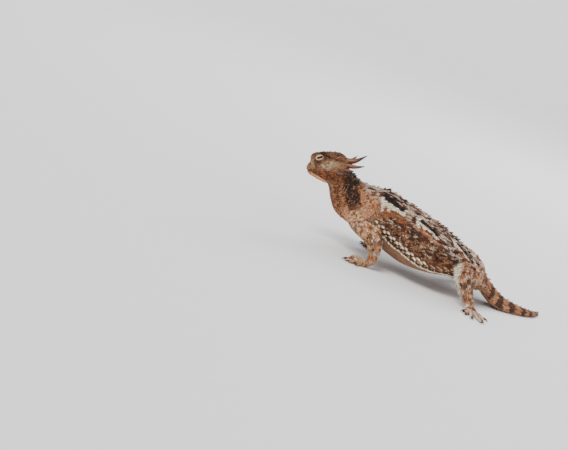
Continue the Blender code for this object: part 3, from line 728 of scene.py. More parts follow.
def lower_marks(tint, points, side):
    """Rusty band under the fringe, a thin creamy line and the grey-tan belly below."""
    x, _, z = points.T
    coarse, middle, fine = grains(points, (3.2, 1.3, 0.6), 33)
    below = fringe_height(x)
    on_side = (side > 60.0) * fade(x, -4.0, 1.5) * (1.0 - fade(x, 46.0, 52.0))
    strip = np.exp(-((z - below) / 1.25) ** 2)
    rim = paint(flat_tint(points, "clay"), "umber", 0.5 + 0.8 * fine)
    tint = blend(tint, rim, strip * on_side)
    lower = paint(flat_tint(points, "bark"), "umber", 0.5 + 0.6 * fine)
    tint = blend(tint, lower, fade(below - z, 0.7, 1.3) * on_side)
    edge = 2.4 + 0.45 * grain(points, 2.4, 31) + 0.25 * np.abs(grain(points, 1.1, 32))
    gap = below - z - edge
    belly = paint(flat_tint(points, "belly"), "sand", 0.3 + 0.4 * coarse)
    belly = paint(belly, "clay", 0.2 + 0.2 * fine)
    belly = paint(belly, "umber", fade(-fine - 0.5 * middle, 0.4, 0.8) * 0.35)
    belly = toned(belly, "belly")
    tint = blend(tint, belly, fade(gap, 0.0, 0.5) * fade(x, -9.0, -3.0) * (side > 70.0))
    creamy = (1.0 - fade(np.abs(gap), 0.2, 0.42)) * fade(x, 2.0, 6.0)
    creamy = creamy * (1.0 - fade(x, 38.0, 42.0)) * (side > 70.0)
    return paint(tint, "cream", creamy)


def trunk_tint(points, along, angle):
    """Back with paired blotches, wavy flank, pale belly and banded tail."""
    x = points[:, 0]
    side = np.abs(angle)
    fine, middle = grains(points, (0.6, 1.4), 42)
    tint = blotch_marks(back_tint(points, side), points)
    tint = neck_marks(tint, points, side)
    tint = lower_marks(tint, points, side)
    bands = np.sin(along * 112.0 / 5.4 * math.tau + 1.2 * grain(points, 3.0, 41))
    tail = paint(flat_tint(points, "sand"), "rust", 0.3 + 0.6 * middle)
    tail = paint(tail, "ash", fade(fine, 0.2, 0.6) * 0.7)
    tail = paint(tail, "umber", fade(bands + 0.5 * fine, 0.0, 0.45) * 0.9)
    tail = paint(tail, "belly", fade(side, 95.0, 115.0) * 0.8)
    return blend(tint, toned(tail, "hind"), fade(x, 49.0, 54.0))


def mouth_height(x):
    """Height of the mouth line along the head."""
    share = np.maximum((MOUTH_START[0] - x) / (MOUTH_START[0] - MOUTH_CORNER[0]), 0.0)
    return MOUTH_START[1] + (MOUTH_CORNER[1] - MOUTH_START[1]) * share ** 1.1


def head_tint(points):
    """Brown crown, rusty cheek, pale lids and tan lips over a rust throat."""
    local = to_head(points)
    x, y, z = local.T
    coarse, middle, fine = grains(points, (2.6, 1.2, 0.6), 51)
    tint = paint(flat_tint(points, "bark"), "sand", 0.40 + 0.7 * middle + 0.2 * coarse)
    tint = paint(tint, "clay", fade(coarse + fine * 0.6, -0.1, 0.5) * 0.6)
    tint = paint(tint, "umber", fade(-fine - 0.5 * middle, 0.15, 0.6) * 0.85)
    cheek = (1.0 - fade(z, -1.8, 0.2)) * (1.0 - fade(x, 7.5, 9.0)) * fade(z, -6.5, -5.0)
    tint = paint(tint, "rust", cheek * (0.5 + 0.4 * fine))
    # Dark wavy lines on the cheek: painted shade of skin creases
    creases = scribble(local * (1.0, 0.7, 0.7), 1.5, 0.34, 54)
    tint = paint(tint, "umber", cheek * creases * 0.85)
    pale = np.exp(-((x - 3.4) / 3.4) ** 2 - ((z - 1.0) / 1.55) ** 2)
    tint = paint(tint, "cream", pale * (0.62 + 0.5 * fine))
    snout = fade(x, 8.6, 10.2)
    tint = paint(tint, "fawn", snout * (0.5 + 0.4 * middle))
    shadow = np.exp(-((x - 8.0) / 1.6) ** 2 - ((z - 1.6) / 0.9) ** 2)
    tint = paint(tint, "umber", shadow * (0.6 + 0.5 * fine))
    line = z - mouth_height(x)
    front = fade(x, 4.6, 6.2)
    tint = paint(tint, "clay", (1.0 - fade(np.abs(line), 0.25, 0.6)) * front * 0.8)
    lower = (1.0 - fade(line, -0.5, -0.2)) * fade(line, -2.6, -1.9) * front
    tint = paint(tint, "lip", lower * (0.85 + 0.25 * middle))
    # Thin near-black line along the mouth: painted shade in the slit between the lips
    tint = paint(tint, "soot", (1.0 - fade(np.abs(line + 0.02), 0.05, 0.17)) * front)
    crown = fade(z, 4.4, 5.6)
    crown_tint = paint(flat_tint(points, "umber"), "bark", 0.75 + 0.7 * middle)
    tint = blend(tint, crown_tint, crown * 0.8)
    throat = (1.0 - fade(z, -6.6, -4.4)) * (1.0 - front * 0.3)
    throat_tint = paint(flat_tint(points, "clay"), "sand", 0.5 + 0.4 * middle)
    tint = blend(tint, throat_tint, throat * 0.8)
    rear = (1.0 - fade(x, -3.4, -0.6)) * (1.0 - fade(z, -0.5, 1.5))
    rear_tint = paint(flat_tint(points, "umber"), "bark", 0.5 + 0.6 * fine)
    tint = blend(tint, rear_tint, rear * 0.8)
    # Nostril painted near black: painted shade inside the opening
    hole = np.linalg.norm(np.column_stack([x, np.abs(y), z]) - NOSTRIL, axis=1)
    tint = paint(tint, "soot", 1.0 - fade(hole, 0.3, 0.55))
    around_eye = np.hypot(x - EYE_PLACE[0], z - EYE_PLACE[2])
    ring = (1.0 - fade(around_eye, 2.2, 3.0)) * (np.abs(y) > 3.4)
    return toned(paint(tint, "umber", ring * 0.6), "head")


def limb_tint(points, along, normals, hind):
    """Fawn limbs, speckled with rust and umber and banded, paler along the thigh's front."""
    coarse, middle, fine, dots = grains(points, (2.8, 1.2, 0.6, 0.4), 61)
    tint = paint(flat_tint(points, "sand"), "fawn", 0.5 + 0.6 * middle)
    tint = paint(tint, "rust", fade(coarse + 0.6 * fine, 0.05, 0.5) * 0.75)
    tint = paint(tint, "bark", fade(-middle - 0.5 * fine, 0.15, 0.6) * 0.8)
    tint = paint(tint, "umber", fade(-dots - 0.4 * coarse, 0.4, 0.75) * 0.75)
    bands = np.sin(along * (9.0 if hind else 7.0) * math.pi + 1.5 * coarse)
    outer = fade(normals[:, 2] + 0.4 * np.abs(normals[:, 1]), -0.1, 0.5)
    outer = outer * (1.0 - fade(along, 0.85, 0.95) * 0.7)
    tint = paint(tint, "umber", fade(bands + 0.5 * middle, 0.55, 1.0) * outer * 0.7)
    tint = toned(tint, "hind" if hind else "front")
    pale = fade(middle + 0.6 * dots, 0.3, 0.6)
    tint = paint(tint, "ash", pale * (0.85 if hind else 0.75))
    if hind:
        blot = fade(-coarse - 0.5 * middle, 0.25, 0.55) * fade(along, 0.1, 0.2)
        tint = paint(tint, "umber", blot * (1.0 - fade(along, 0.7, 0.85)) * 0.8)
        front = fade(-normals[:, 0], 0.35, 0.7) * fade(along, 0.15, 0.3)
        tint = paint(tint, "cream", front * (0.85 + 0.3 * fine))
    under = fade(-normals[:, 2], 0.35, 0.8)
    return paint(tint, "belly", under * 0.6)


def locate(points, families):
    """Where each point lies on every family near it, with shares that blend them."""
    found = {name: family.find(points) for name, family in families.items()}
    nearest = np.min([distance for _, distance in found.values()], axis=0)
    shares = {name: np.exp(-((distance - nearest) / 0.8) ** 2)
              for name, (_, distance) in found.items()}
    total = np.sum(list(shares.values()), axis=0)
    return {name: (found[name][0], shares[name] / total) for name in found}


def markings(points, families):
    """Colour of the animal at each point, the same for its skin and its scales."""
    tint = np.zeros((len(points), 3))
    for name, (index, share) in locate(points, families).items():
        used = np.flatnonzero(share > 0.02)
        if not len(used):
            continue
        family = families[name]
        here, index = points[used], index[used]
        along, around = family.along[index], family.around[index]
        angle = (around - 0.25) * 360.0
        angle = np.where(angle > 180.0, angle - 360.0, angle)
        if name == "trunk":
            part = trunk_tint(here, along, angle)
        elif name == "head":
            part = head_tint(here)
        else:
            along = np.where(family.index[index] > 0, 0.98, along)
            part = limb_tint(here, along, family.normals[index], name.startswith("hind"))
        tint[used] += part * share[used, None]
    return np.clip(tint, 0.003, 0.9)


def set_tint(mesh, tint):
    """Store colours on a mesh's corner points."""
    layer = mesh.color_attributes.new("tint", "FLOAT_COLOR", "POINT")
    values = np.ones((len(tint), 4), np.float32)
    values[:, :3] = tint
    layer.data.foreach_set("color", values.ravel())


def finish_piece(item, material, slot, *nodes):
    """Bring a piece to its place in the frame, with its finish and the nodes it replaces."""
    set_points(item, points_of(item) * MM + SHIFT)
    item.data.materials.clear()
    item.data.materials.append(material)
    item.data.name = item.name
    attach(item, "root")
    if nodes:
        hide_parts(*nodes)
    return item


def fold(points, normals, rows, depth, width):
    """Crease along a row of points: a groove with a soft swelling on each side."""
    low, high = rows.min(axis=0) - FOLD_REACH, rows.max(axis=0) + FOLD_REACH
    near = np.flatnonzero(np.all((points > low) & (points < high), axis=1))
    line = curve(rows, np.linspace(0.0, len(rows) - 1.0, 40))
    gap = np.min(np.linalg.norm(points[near, None] - line[None], axis=2), axis=1)
    shape = -np.exp(-(gap / width) ** 2) + 0.55 * np.exp(-((gap - 2.0 * width) / width) ** 2)
    result = points.copy()
    result[near] += normals[near] * (shape * depth)[:, None]
    return result


def sculpt_head(points, normals):
    """Mouth line, lips, nostrils and eye hollows."""
    local = to_head(points)
    x, _, z = local.T
    ahead = fade(x, MOUTH_CORNER[0] - 0.4, MOUTH_CORNER[0] + 0.4)
    line = z - mouth_height(x)
    reach = (np.abs(line) < 2.0) & (x > 4.0) & (x < 13.0)
    groove = -0.42 * np.exp(-(line / 0.17) ** 2) * ahead
    lips = 0.16 * np.exp(-((np.abs(line) - 0.55) / 0.3) ** 2) * ahead
    push = np.where(reach, groove + lips, 0.0)
    for way in (1, -1):
        hole = np.linalg.norm(local - np.array(NOSTRIL) * (1, way, 1), axis=1)
        push += -0.5 * np.exp(-(hole / 0.3) ** 2) + 0.12 * np.exp(-((hole - 0.6) / 0.2) ** 2)
    points = points + normals * push[:, None]
    for way in (1, -1):
        eye = np.array(EYE_PLACE) * (1, way, 1)
        arm = to_head(points) - eye
        out = arm[:, 1] * way
        tilt = math.radians(SLIT_TILT)
        ahead = arm[:, 0] * math.cos(tilt) - arm[:, 2] * math.sin(tilt)
        rise = arm[:, 0] * math.sin(tilt) + arm[:, 2] * math.cos(tilt)
        across = np.where(ahead > 0, LID_FRONT, LID_REACH[0])
        flat = np.hypot(ahead / across, rise / LID_REACH[1])
        deep = (1.0 - fade(flat, 0.80, 0.95)) * (out > 0.2)
        reach = np.linalg.norm(arm, axis=1)
        size = reach + (1.25 - reach) * deep
        moved = from_head(eye + arm / np.maximum(reach, 1e-6)[:, None] * size[:, None])
        points = np.where((deep > 0)[:, None], moved, points)
    return points


def folds_of(way):
    """Creases of one side: jaw, neck, shoulder and groin."""
    jaw = from_head([(5.4, 5.9 * way, -4.3), (3.2, 7.4 * way, -4.0), (0.4, 8.3 * way, -4.6),
                     (-2.2, 8.2 * way, -5.6)])
    gular = from_head([(-0.5, 7.2 * way, -6.4), (-1.6, 4.8 * way, -8.2),
                       (-2.4, 0.0, -9.2)])
    neck = [((-18.6, 5.6, 31.0), (-19.4, 6.8, 27.5), (-20.6, 6.4, 24.0)),
            ((-15.2, 5.4, 30.0), (-16.0, 6.9, 26.0), (-17.8, 6.4, 21.4)),
            ((-11.4, 5.8, 28.6), (-12.0, 7.3, 24.4), (-14.0, 7.4, 19.6))]
    shoulder = [((-8.5, 8.0, 25.6), (-3.5, 11.4, 22.6), (2.6, 15.2, 19.6), (4.2, 16.2, 15.6))]
    groin = [((33.5, 18.6, 15.6), (37.0, 17.2, 16.8), (41.6, 14.4, 16.4), (46.0, 11.0, 14.4)),
             ((31.0, 20.4, 10.2), (34.0, 19.6, 9.0), (37.0, 16.6, 7.8))]
    rows = [(jaw, 0.34, 0.35), (gular, 0.4, 0.5)]
    for lines, depth, width in ((neck, 0.5, 0.5), (shoulder, 0.6, 0.7), (groin, 0.5, 0.6)):
        rows += [(np.array(line) * (1, -way, 1), depth, width) for line in lines]
    return rows


def wrinkle(points, normals):
    """Long wavy wrinkles on the flanks and finer ones on the neck."""
    x, y, z = points.T
    below = fringe_height(x)
    flank = fade(x, -2.0, 4.0) * (1.0 - fade(x, 42.0, 47.0)) * fade(np.abs(y), 9.0, 13.0)
    flank = flank * fade(z - below, 0.6, 1.8)
    waves = grain(points * (0.36, 0.8, 1.2), 1.25, 95) + 0.4 * grain(points, 0.9, 96)
    neck = (1.0 - fade(x, -9.0, -5.0)) * fade(x + 0.5 * z, -9.0, -7.0)
    creases = grain(points * (1.3, 1.0, 0.5), 1.3, 97)
    push = flank * (0.30 * np.abs(waves) - 0.12) + neck * (0.3 * np.abs(creases) - 0.12)
    return points + normals * push[:, None]


def make_skin(forms, families):
    """One closed skin over all the flesh, without a seam."""
    items = [draw_out("skin", forms["trunk"][0], 96, 220)]
    items.append(draw_out("head_part", forms["head"][0], 72, 60))
    for way in (1, -1):
        for rows in (BROW, TEMPLE):
            line = from_head([np.array(point) * (1, way, 1) for point, _ in rows])
            rings = tube_rings(line, [radius for _, radius in rows], 24, 16, -SKIN_DEPTH * 0.6)
            items.append(draw_out("ridge", Form(rings), 16, 24))
        eye = from_head(np.array(EYE_PLACE) * (1, way, 1))
        items.append(lump("socket", eye, (SOCKET_RADIUS,) * 3))
    for leg in LEGS:
        for number, form in enumerate(forms[leg]):
            sizes = (40, 90) if number == 0 else (14, 26)
            items.append(draw_out("limb_part", form, *sizes))
        items.append(lump("palm", np.array(LEGS[leg][-1]), np.array(PALM) - SKIN_DEPTH))
    skin = items[0]
    select_only(*items[1:], skin)
    bpy.ops.object.join()
    skin.name = "skin"
    step = skin.modifiers.new("one_skin", "REMESH")
    step.mode = "VOXEL"
    step.voxel_size = SKIN_VOXEL
    step.adaptivity = 0.0
    bpy.ops.object.modifier_apply(modifier=step.name)
    points = points_of(skin)
    edges = np.empty(len(skin.data.edges) * 2, np.int32)
    skin.data.edges.foreach_get("vertices", edges)
    edges = edges.reshape(-1, 2)
    gaps = np.sort([family.find(points)[1] for family in families.values()], axis=0)
    joint = 1.0 - fade(gaps[1], 1.2, 2.6)
    points = smooth_over(points, edges, np.ones(len(points)), 3, back=0.52)
    points = smooth_over(points, edges, joint, 24)
    set_points(skin, points)
    for way in (1, -1):
        for rows, depth, width in folds_of(way):
            points = fold(points, normals_of(skin), rows, depth, width)
            set_points(skin, points)
    points = wrinkle(points, normals_of(skin))
    set_points(skin, points)
    points = sculpt_head(points, normals_of(skin))
    points[:, 2] = np.maximum(points[:, 2], 0.03)
    set_points(skin, points)
    thin_out(skin, points)
    skin.data.shade_smooth()
    return skin


def thin_out(skin, points):
    """Fewer faces on the trunk, where the scales carry the detail."""
    group = skin.vertex_groups.new(name="trunk")
    body = np.flatnonzero((points[:, 0] > -14.0) & (points[:, 2] > 4.0)
                          & (np.abs(points[:, 1]) < 21.5))
    group.add(body.tolist(), 1.0, "REPLACE")
    step = skin.modifiers.new("thin", "DECIMATE")
    step.ratio = THIN_SHARE
    step.vertex_group = group.name
    step.vertex_group_factor = 1.0
    select_only(skin)
    bpy.ops.object.modifier_apply(modifier=step.name)
    skin.vertex_groups.clear()


def turned(sides, rings, top, turn=0.0):
    """A small form to repeat: rings of radius, height and shift back, then a top point."""
    points, faces, shade = [], [], []
    # Each corner also gets a shade share, 0 at the base and 1 at the top, which sets the
    # painted shade and painted light of each scale
    for radius, height, back in rings:
        for k in range(sides):
            angle = math.tau * (k + turn) / sides
            points.append((back + radius * math.cos(angle), radius * math.sin(angle), height))
            shade.append(max(height, 0.0) / top[1])
    for ring in range(len(rings) - 1):
        for k in range(sides):
            beside = (k + 1) % sides
            a, b = ring * sides + k, ring * sides + beside
            c, d = b + sides, a + sides
            faces += [(a, b, c), (a, c, d)]
    points.append((top[0], 0.0, top[1]))
    shade.append(1.0)
    last = (len(rings) - 1) * sides
    for k in range(sides):
        faces.append((last + k, last + (k + 1) % sides, len(points) - 1))
    return np.array(points), np.array(faces), np.array(shade)


def keeled():
    """A pointed scale with a raised keel that overhangs the one behind it."""
    points = [(-0.52, 0.0, -0.1), (-0.26, 0.42, -0.12), (0.2, 0.44, -0.06), (0.62, 0.0, 0.1),
              (0.2, -0.44, -0.06), (-0.26, -0.42, -0.12), (-0.18, 0.0, 0.26),
              (0.2, 0.0, 0.38), (0.66, 0.0, 0.42)]
    faces = [(1, 0, 6), (2, 1, 6), (2, 6, 7), (3, 2, 8), (2, 7, 8), (4, 3, 8), (4, 8, 7),
             (4, 7, 6), (5, 4, 6), (0, 5, 6)]
    # Shade share of each corner, 0 at the base and 1 at the keel, for the painted shade and
    # painted light of the scale
    shade = [0.0, 0.0, 0.1, 0.3, 0.1, 0.0, 0.75, 0.95, 1.0]
    return np.array(points), np.array(faces), np.array(shade)


KINDS = {
    "granule": turned(6, ((0.50, -0.2, 0.0), (0.43, 0.16, 0.03)), (0.12, 0.34)),
    "keeled": keeled(),
    "spine": turned(6, ((0.50, -0.25, 0.0), (0.40, 0.14, 0.0), (0.22, 0.55, 0.05)),
                    (0.16, 1.0)),
    "plate": turned(6, ((0.52, -0.2, 0.0), (0.48, 0.2, 0.0), (0.36, 0.32, 0.0)), (0.05, 0.42)),
    "square": turned(4, ((0.68, -0.2, 0.0), (0.64, 0.22, 0.0), (0.5, 0.34, 0.0)), (0.0, 0.36),
                     0.5),
    "bump": turned(7, ((0.54, -0.2, 0.0), (0.48, 0.16, 0.0), (0.24, 0.42, 0.04)),
                   (0.10, 0.62)),
}


# Where a scale sits: its piece and kind, its root on the skin, the ways it stands and lies,
# its sizes, its place on the bake unwrap, a colour of its own or none, and its brightness
Seat = namedtuple("Seat", "piece kind root normal lie size place tint lift")


class Coat:
    """Collects scales seat by seat, keeps them apart, and joins them piece by piece."""

    def __init__(self, skin):
        graph = bpy.context.evaluated_depsgraph_get()
        self.tree = BVHTree.FromObject(skin, graph)
        self.rows = []
        self.cells = {}
        self.rng = np.random.default_rng(SEED)

    def free(self, point, size):
        """True where no scale already lies too near, and then the place is taken."""
        cell = tuple(np.floor(point).astype(int))
        for step in itertools.product((-1, 0, 1), repeat=3):
            for other, reach in self.cells.get((cell[0] + step[0], cell[1] + step[1],
                                                cell[2] + step[2]), ()):
                gap = 0.31 * (size + reach)
                if (other[0] - point[0]) ** 2 + (other[1] - point[1]) ** 2 \
                        + (other[2] - point[2]) ** 2 < gap * gap:
                    return False
        self.cells.setdefault(cell, []).append((tuple(point), size))
        return True

    def add(self, piece, kind, points, normals, lies, sizes, places, limit=0.9, lean=0.0,
            tint=None, lift=1.0):
        """Seat scales on the skin nearest to their points."""
        for k, point in enumerate(points):
            hit, slope, _, gap = self.tree.find_nearest(Vector(point))
            if hit is None or gap > limit:
                continue
            root = np.array(hit)
            slope = np.array(slope)
            if np.dot(slope, normals[k]) < 0.2:
                continue
            size = sizes[k]
            if not self.free(root, min(size[0], size[1])):
                continue
            normal = unit(slope + normals[k])
            if lean:
                normal = unit(normal * math.cos(lean) + lies[k] * math.sin(lean))
            lie = unit(lies[k] - normal * np.dot(lies[k], normal))
            self.rows.append(Seat(piece, kind, root, normal, lie, size, places[k], tint, lift))

    def cover(self, piece, kind, form, along, around, sizes, **how):
        """Scales at shares of a form."""
        here, normals, lies = form.seat(along, around)
        left, bottom, width, height = form.cell
        places = np.column_stack([left + along * width,
                                  bottom + np.mod(around, 1.0) * height])
        self.add(piece, kind, here, normals, lies, sizes, places, **how)

    def varied(self, count, size, spread=0.14):
        """Sizes that vary a little about one."""
        return np.array(size) * (1.0 + self.rng.uniform(-spread, spread, (count, 3)))

    def fill(self, skin_points, skin_normals, size):
        """Small granules where the skin still shows between families."""
        taken = KDTree(len(self.rows))
        for number, row in enumerate(self.rows):
            taken.insert(row.root, number)
        taken.balance()
        order = self.rng.permutation(len(skin_points))
        for k in order:
            point = skin_points[k]
            _, number, gap = taken.find(point)
            other = self.rows[number]
            reach = 0.5 * max(other.size[0], other.size[1]) + 0.38 * size
            if gap < reach or point[2] < 0.25 or not self.free(point, size):
                continue
            normal = skin_normals[k]
            lie = unit(other.lie - normal * np.dot(other.lie, normal))
            scale = np.array((size, size, size)) * self.rng.uniform(0.85, 1.15)
            self.rows.append(Seat(other.piece, "granule", point, normal, lie, scale,
                                  other.place, None, 1.0))

    def make(self, piece, material, tints):
        """One joined mesh of all the scales of a piece, with its colours and bake patches."""
        corners, faces, colours, patches = [], [], [], []
        start = 0
        rng = np.random.default_rng(SEED + len(piece))
        for kind, (shape, sides, shade) in KINDS.items():
            chosen = [k for k, row in enumerate(self.rows)
                      if row.piece == piece and row.kind == kind]
            if not chosen:
                continue
            rows = [self.rows[k] for k in chosen]
            root, normal, lie, size, place = (
                np.array([getattr(row, part) for row in rows])
                for part in ("root", "normal", "lie", "size", "place"))
            across = np.cross(normal, lie)
            local = shape[None] * size[:, None]
            points = (root[:, None] + lie[:, None] * local[..., 0:1]
                      + across[:, None] * local[..., 1:2] + normal[:, None] * local[..., 2:3])
            lift = np.array([[row.lift] for row in rows])
            base = lift * tints[chosen] * rng.uniform(0.78, 1.2, (len(chosen), 1))
            # Each scale is painted darker at its base and lighter at its top: painted shade
            # where the scales meet and painted light on their tops
            light = 0.42 + 0.78 * shade
            tint = base[:, None] * light[None, :, None]
            number = len(shape)
            steps = start + np.arange(len(chosen))[:, None, None] * number
            faces.append((sides[None] + steps).reshape(-1, 3))
            corners.append(points.reshape(-1, 3))
            colours.append(tint.reshape(-1, 3))
            patch = place[:, None] + shape[None, :, :2] * PATCH
            patches.append(patch.reshape(-1, 2))
            start += len(chosen) * number
        corners, faces = np.concatenate(corners), np.concatenate(faces)
        corners[:, 2] = np.maximum(corners[:, 2], 0.0)
        item = mesh_piece(piece, corners, faces, np.concatenate(colours),
                          np.concatenate(patches))
        return finish_piece(item, material, "skin")


def mesh_piece(name, points, faces, tint=None, patches=None):
    """Object from an array of corners and an array of three-cornered faces."""
    mesh = bpy.data.meshes.new(name)
    mesh.vertices.add(len(points))
    mesh.vertices.foreach_set("co", points.astype(np.float32).ravel())
    mesh.loops.add(faces.size)
    mesh.loops.foreach_set("vertex_index", faces.astype(np.int32).ravel())
    mesh.polygons.add(len(faces))
    mesh.polygons.foreach_set("loop_start", np.arange(0, faces.size, 3, dtype=np.int32))
    mesh.update(calc_edges=True)
    if tint is not None:
        set_tint(mesh, tint)
    if patches is not None:
        layer = mesh.uv_layers.new(name="OFBake")
        layer.data.foreach_set("uv", patches[faces.ravel()].astype(np.float32).ravel())
    item = bpy.data.objects.new(name, mesh)
    bpy.context.scene.collection.objects.link(item)
    return item


def trunk_angles(form, x_values, heights, way):
    """Shares of points on one side of the trunk at given x and z."""
    along = np.linspace(0.0, 1.0, 400)
    around = np.linspace(-0.2, 0.2, 121)
    if way < 0:
        around = 0.5 - around
    result = []
    grid = form.point(np.repeat(along, len(around)), np.tile(around, len(along)))
    for x, z in zip(x_values, heights):
        best = np.argmin((grid[:, 0] - x) ** 2 + (grid[:, 2] - z) ** 2)
        result.append((along[best // len(around)], around[best % len(around)]))
    return np.array(result)


def lay_fringe(coat, form):
    """Two rows of flat pale teeth down each side, the upper ones larger and zigzag."""
    line = np.array(FRINGE_LINE)
    for way in (1, -1):
        for drop, size, step, begin, tint in (
                (-0.1, (1.75, 1.25, 1.55), 1.42, 1.0, "cream"),
                (1.0, (1.15, 0.9, 0.95), 1.42, 1.7, "sand")):
            x = np.arange(begin, 43.5, step)
            swing = 0.3 * (-1.0) ** np.arange(len(x))
            z = np.interp(x, line[:, 0], line[:, 1]) - drop + swing
            seats = trunk_angles(form, x, z, way)
            sizes = coat.varied(len(x), size, 0.16)
            for chosen, share, name in ((x < FRINGE_DIMS, 1.0, tint),
                                        (x >= FRINGE_DIMS, 0.8, "sand")):
                coat.cover("fringe", "spine", form, *seats[chosen].T, sizes[chosen] * share,
                           lean=0.6, tint=name)


def lay_rosettes(coat, piece, form, along, around, sizes, lean):
    """Pointed scales, each in a ring of smaller keeled ones."""
    coat.cover(piece, "spine", form, along, around, sizes, lean=lean, lift=1.3)
    for k in range(6):
        turn = math.tau * (k + 0.5) / 6
        reach = 0.52 * (sizes[:, 0] + 0.75)
        beside = around + reach * math.sin(turn) / form.girth(along)
        ahead = along + reach * math.cos(turn) / form.length
        small = coat.varied(len(along), (0.85, 0.72, 0.75), 0.15)
        coat.cover(piece, "keeled", form, ahead, beside, small, lean=0.15)


def lay_trunk(coat, form):
    """Fringe, spines, keeled tail whorls, granules and belly squares."""
    rng = coat.rng
    length = form.length
    lay_fringe(coat, form)
    for angle in BACK_SPINE_ANGLES:
        along = np.arange(*BACK_SPINE_SPAN) / length
        along = along + (0.5 * (abs(angle) // 12 % 2)) * BACK_SPINE_SPAN[2] / length
        along = along + rng.uniform(-0.6, 0.6, len(along)) / length
        around = 0.25 + (angle + rng.uniform(-3.5, 3.5, len(along))) / 360.0
        large = rng.uniform(0.75, 1.25, (len(along), 1))
        sizes = coat.varied(len(along), (1.3, 1.15, 1.3), 0.12) * large
        lay_rosettes(coat, "back_spines", form, along, around, sizes, 0.62)
    for angle in NECK_SPINE_ANGLES:
        along = np.arange(*NECK_SPINE_SPAN) / length
        along = along + rng.uniform(-0.4, 0.4, len(along)) / length
        around = 0.25 + (angle + rng.uniform(-4, 4, len(along))) / 360.0
        sizes = coat.varied(len(along), (1.0, 0.9, 1.1), 0.25)
        coat.cover("neck_scales", "spine", form, along, around, sizes, lean=0.6)
    for angle in TAIL_SPINE_ANGLES:
        along = np.arange(*TAIL_SPINE_SPAN, 1.9 if abs(angle) > 80 else 2.6) / length
        share = 1.0 - 0.55 * (along * length - TAIL_SPINE_SPAN[0]) / 36.0
        around = 0.25 + np.full(len(along), angle) / 360.0
        sizes = coat.varied(len(along), (1.3, 1.1, 1.7), 0.15) * share[:, None]
        coat.cover("tail_scales", "spine", form, along, around, sizes, lean=0.6)
    for piece, kind, span, arc, spacing in TRUNK_AREAS:
        squeeze = 1.0 if kind == "square" else 0.87
        along, around = form.rows(span, spacing, arc, squeeze)
        if kind == "granule":
            along = along + rng.uniform(-0.16, 0.16, len(along)) * spacing / length
            around = around + rng.uniform(-0.16, 0.16, len(along)) * spacing / 90.0
        sizes = coat.varied(len(along), np.array(TRUNK_SIZES[kind]) * spacing)
        if piece == "tail_scales":
            share = 1.0 - 0.45 * fade(along, 0.7, 1.0)
            sizes = sizes * share[:, None]
        coat.cover(piece, kind, form, along, around, sizes)


def head_side(x, z):
    """Left surface point of the head at a length and a height in its own frame."""
    tops, bottoms, middles, halves = sections(HEAD, np.linspace(0.0, len(HEAD) - 1.0, 600))
    k = int(np.argmin(np.abs(middles[:, 0] - x)))
    rise = z - middles[k, 2]
    power = HEAD_POWERS[0] if rise >= 0 else HEAD_POWERS[1]
    reach = abs((tops if rise >= 0 else bottoms)[k, 2] - middles[k, 2])
    share = min(abs(rise) / reach, 1.0)
    return np.array((x, halves[k] * (1.0 - share ** power) ** (1.0 / power), z))


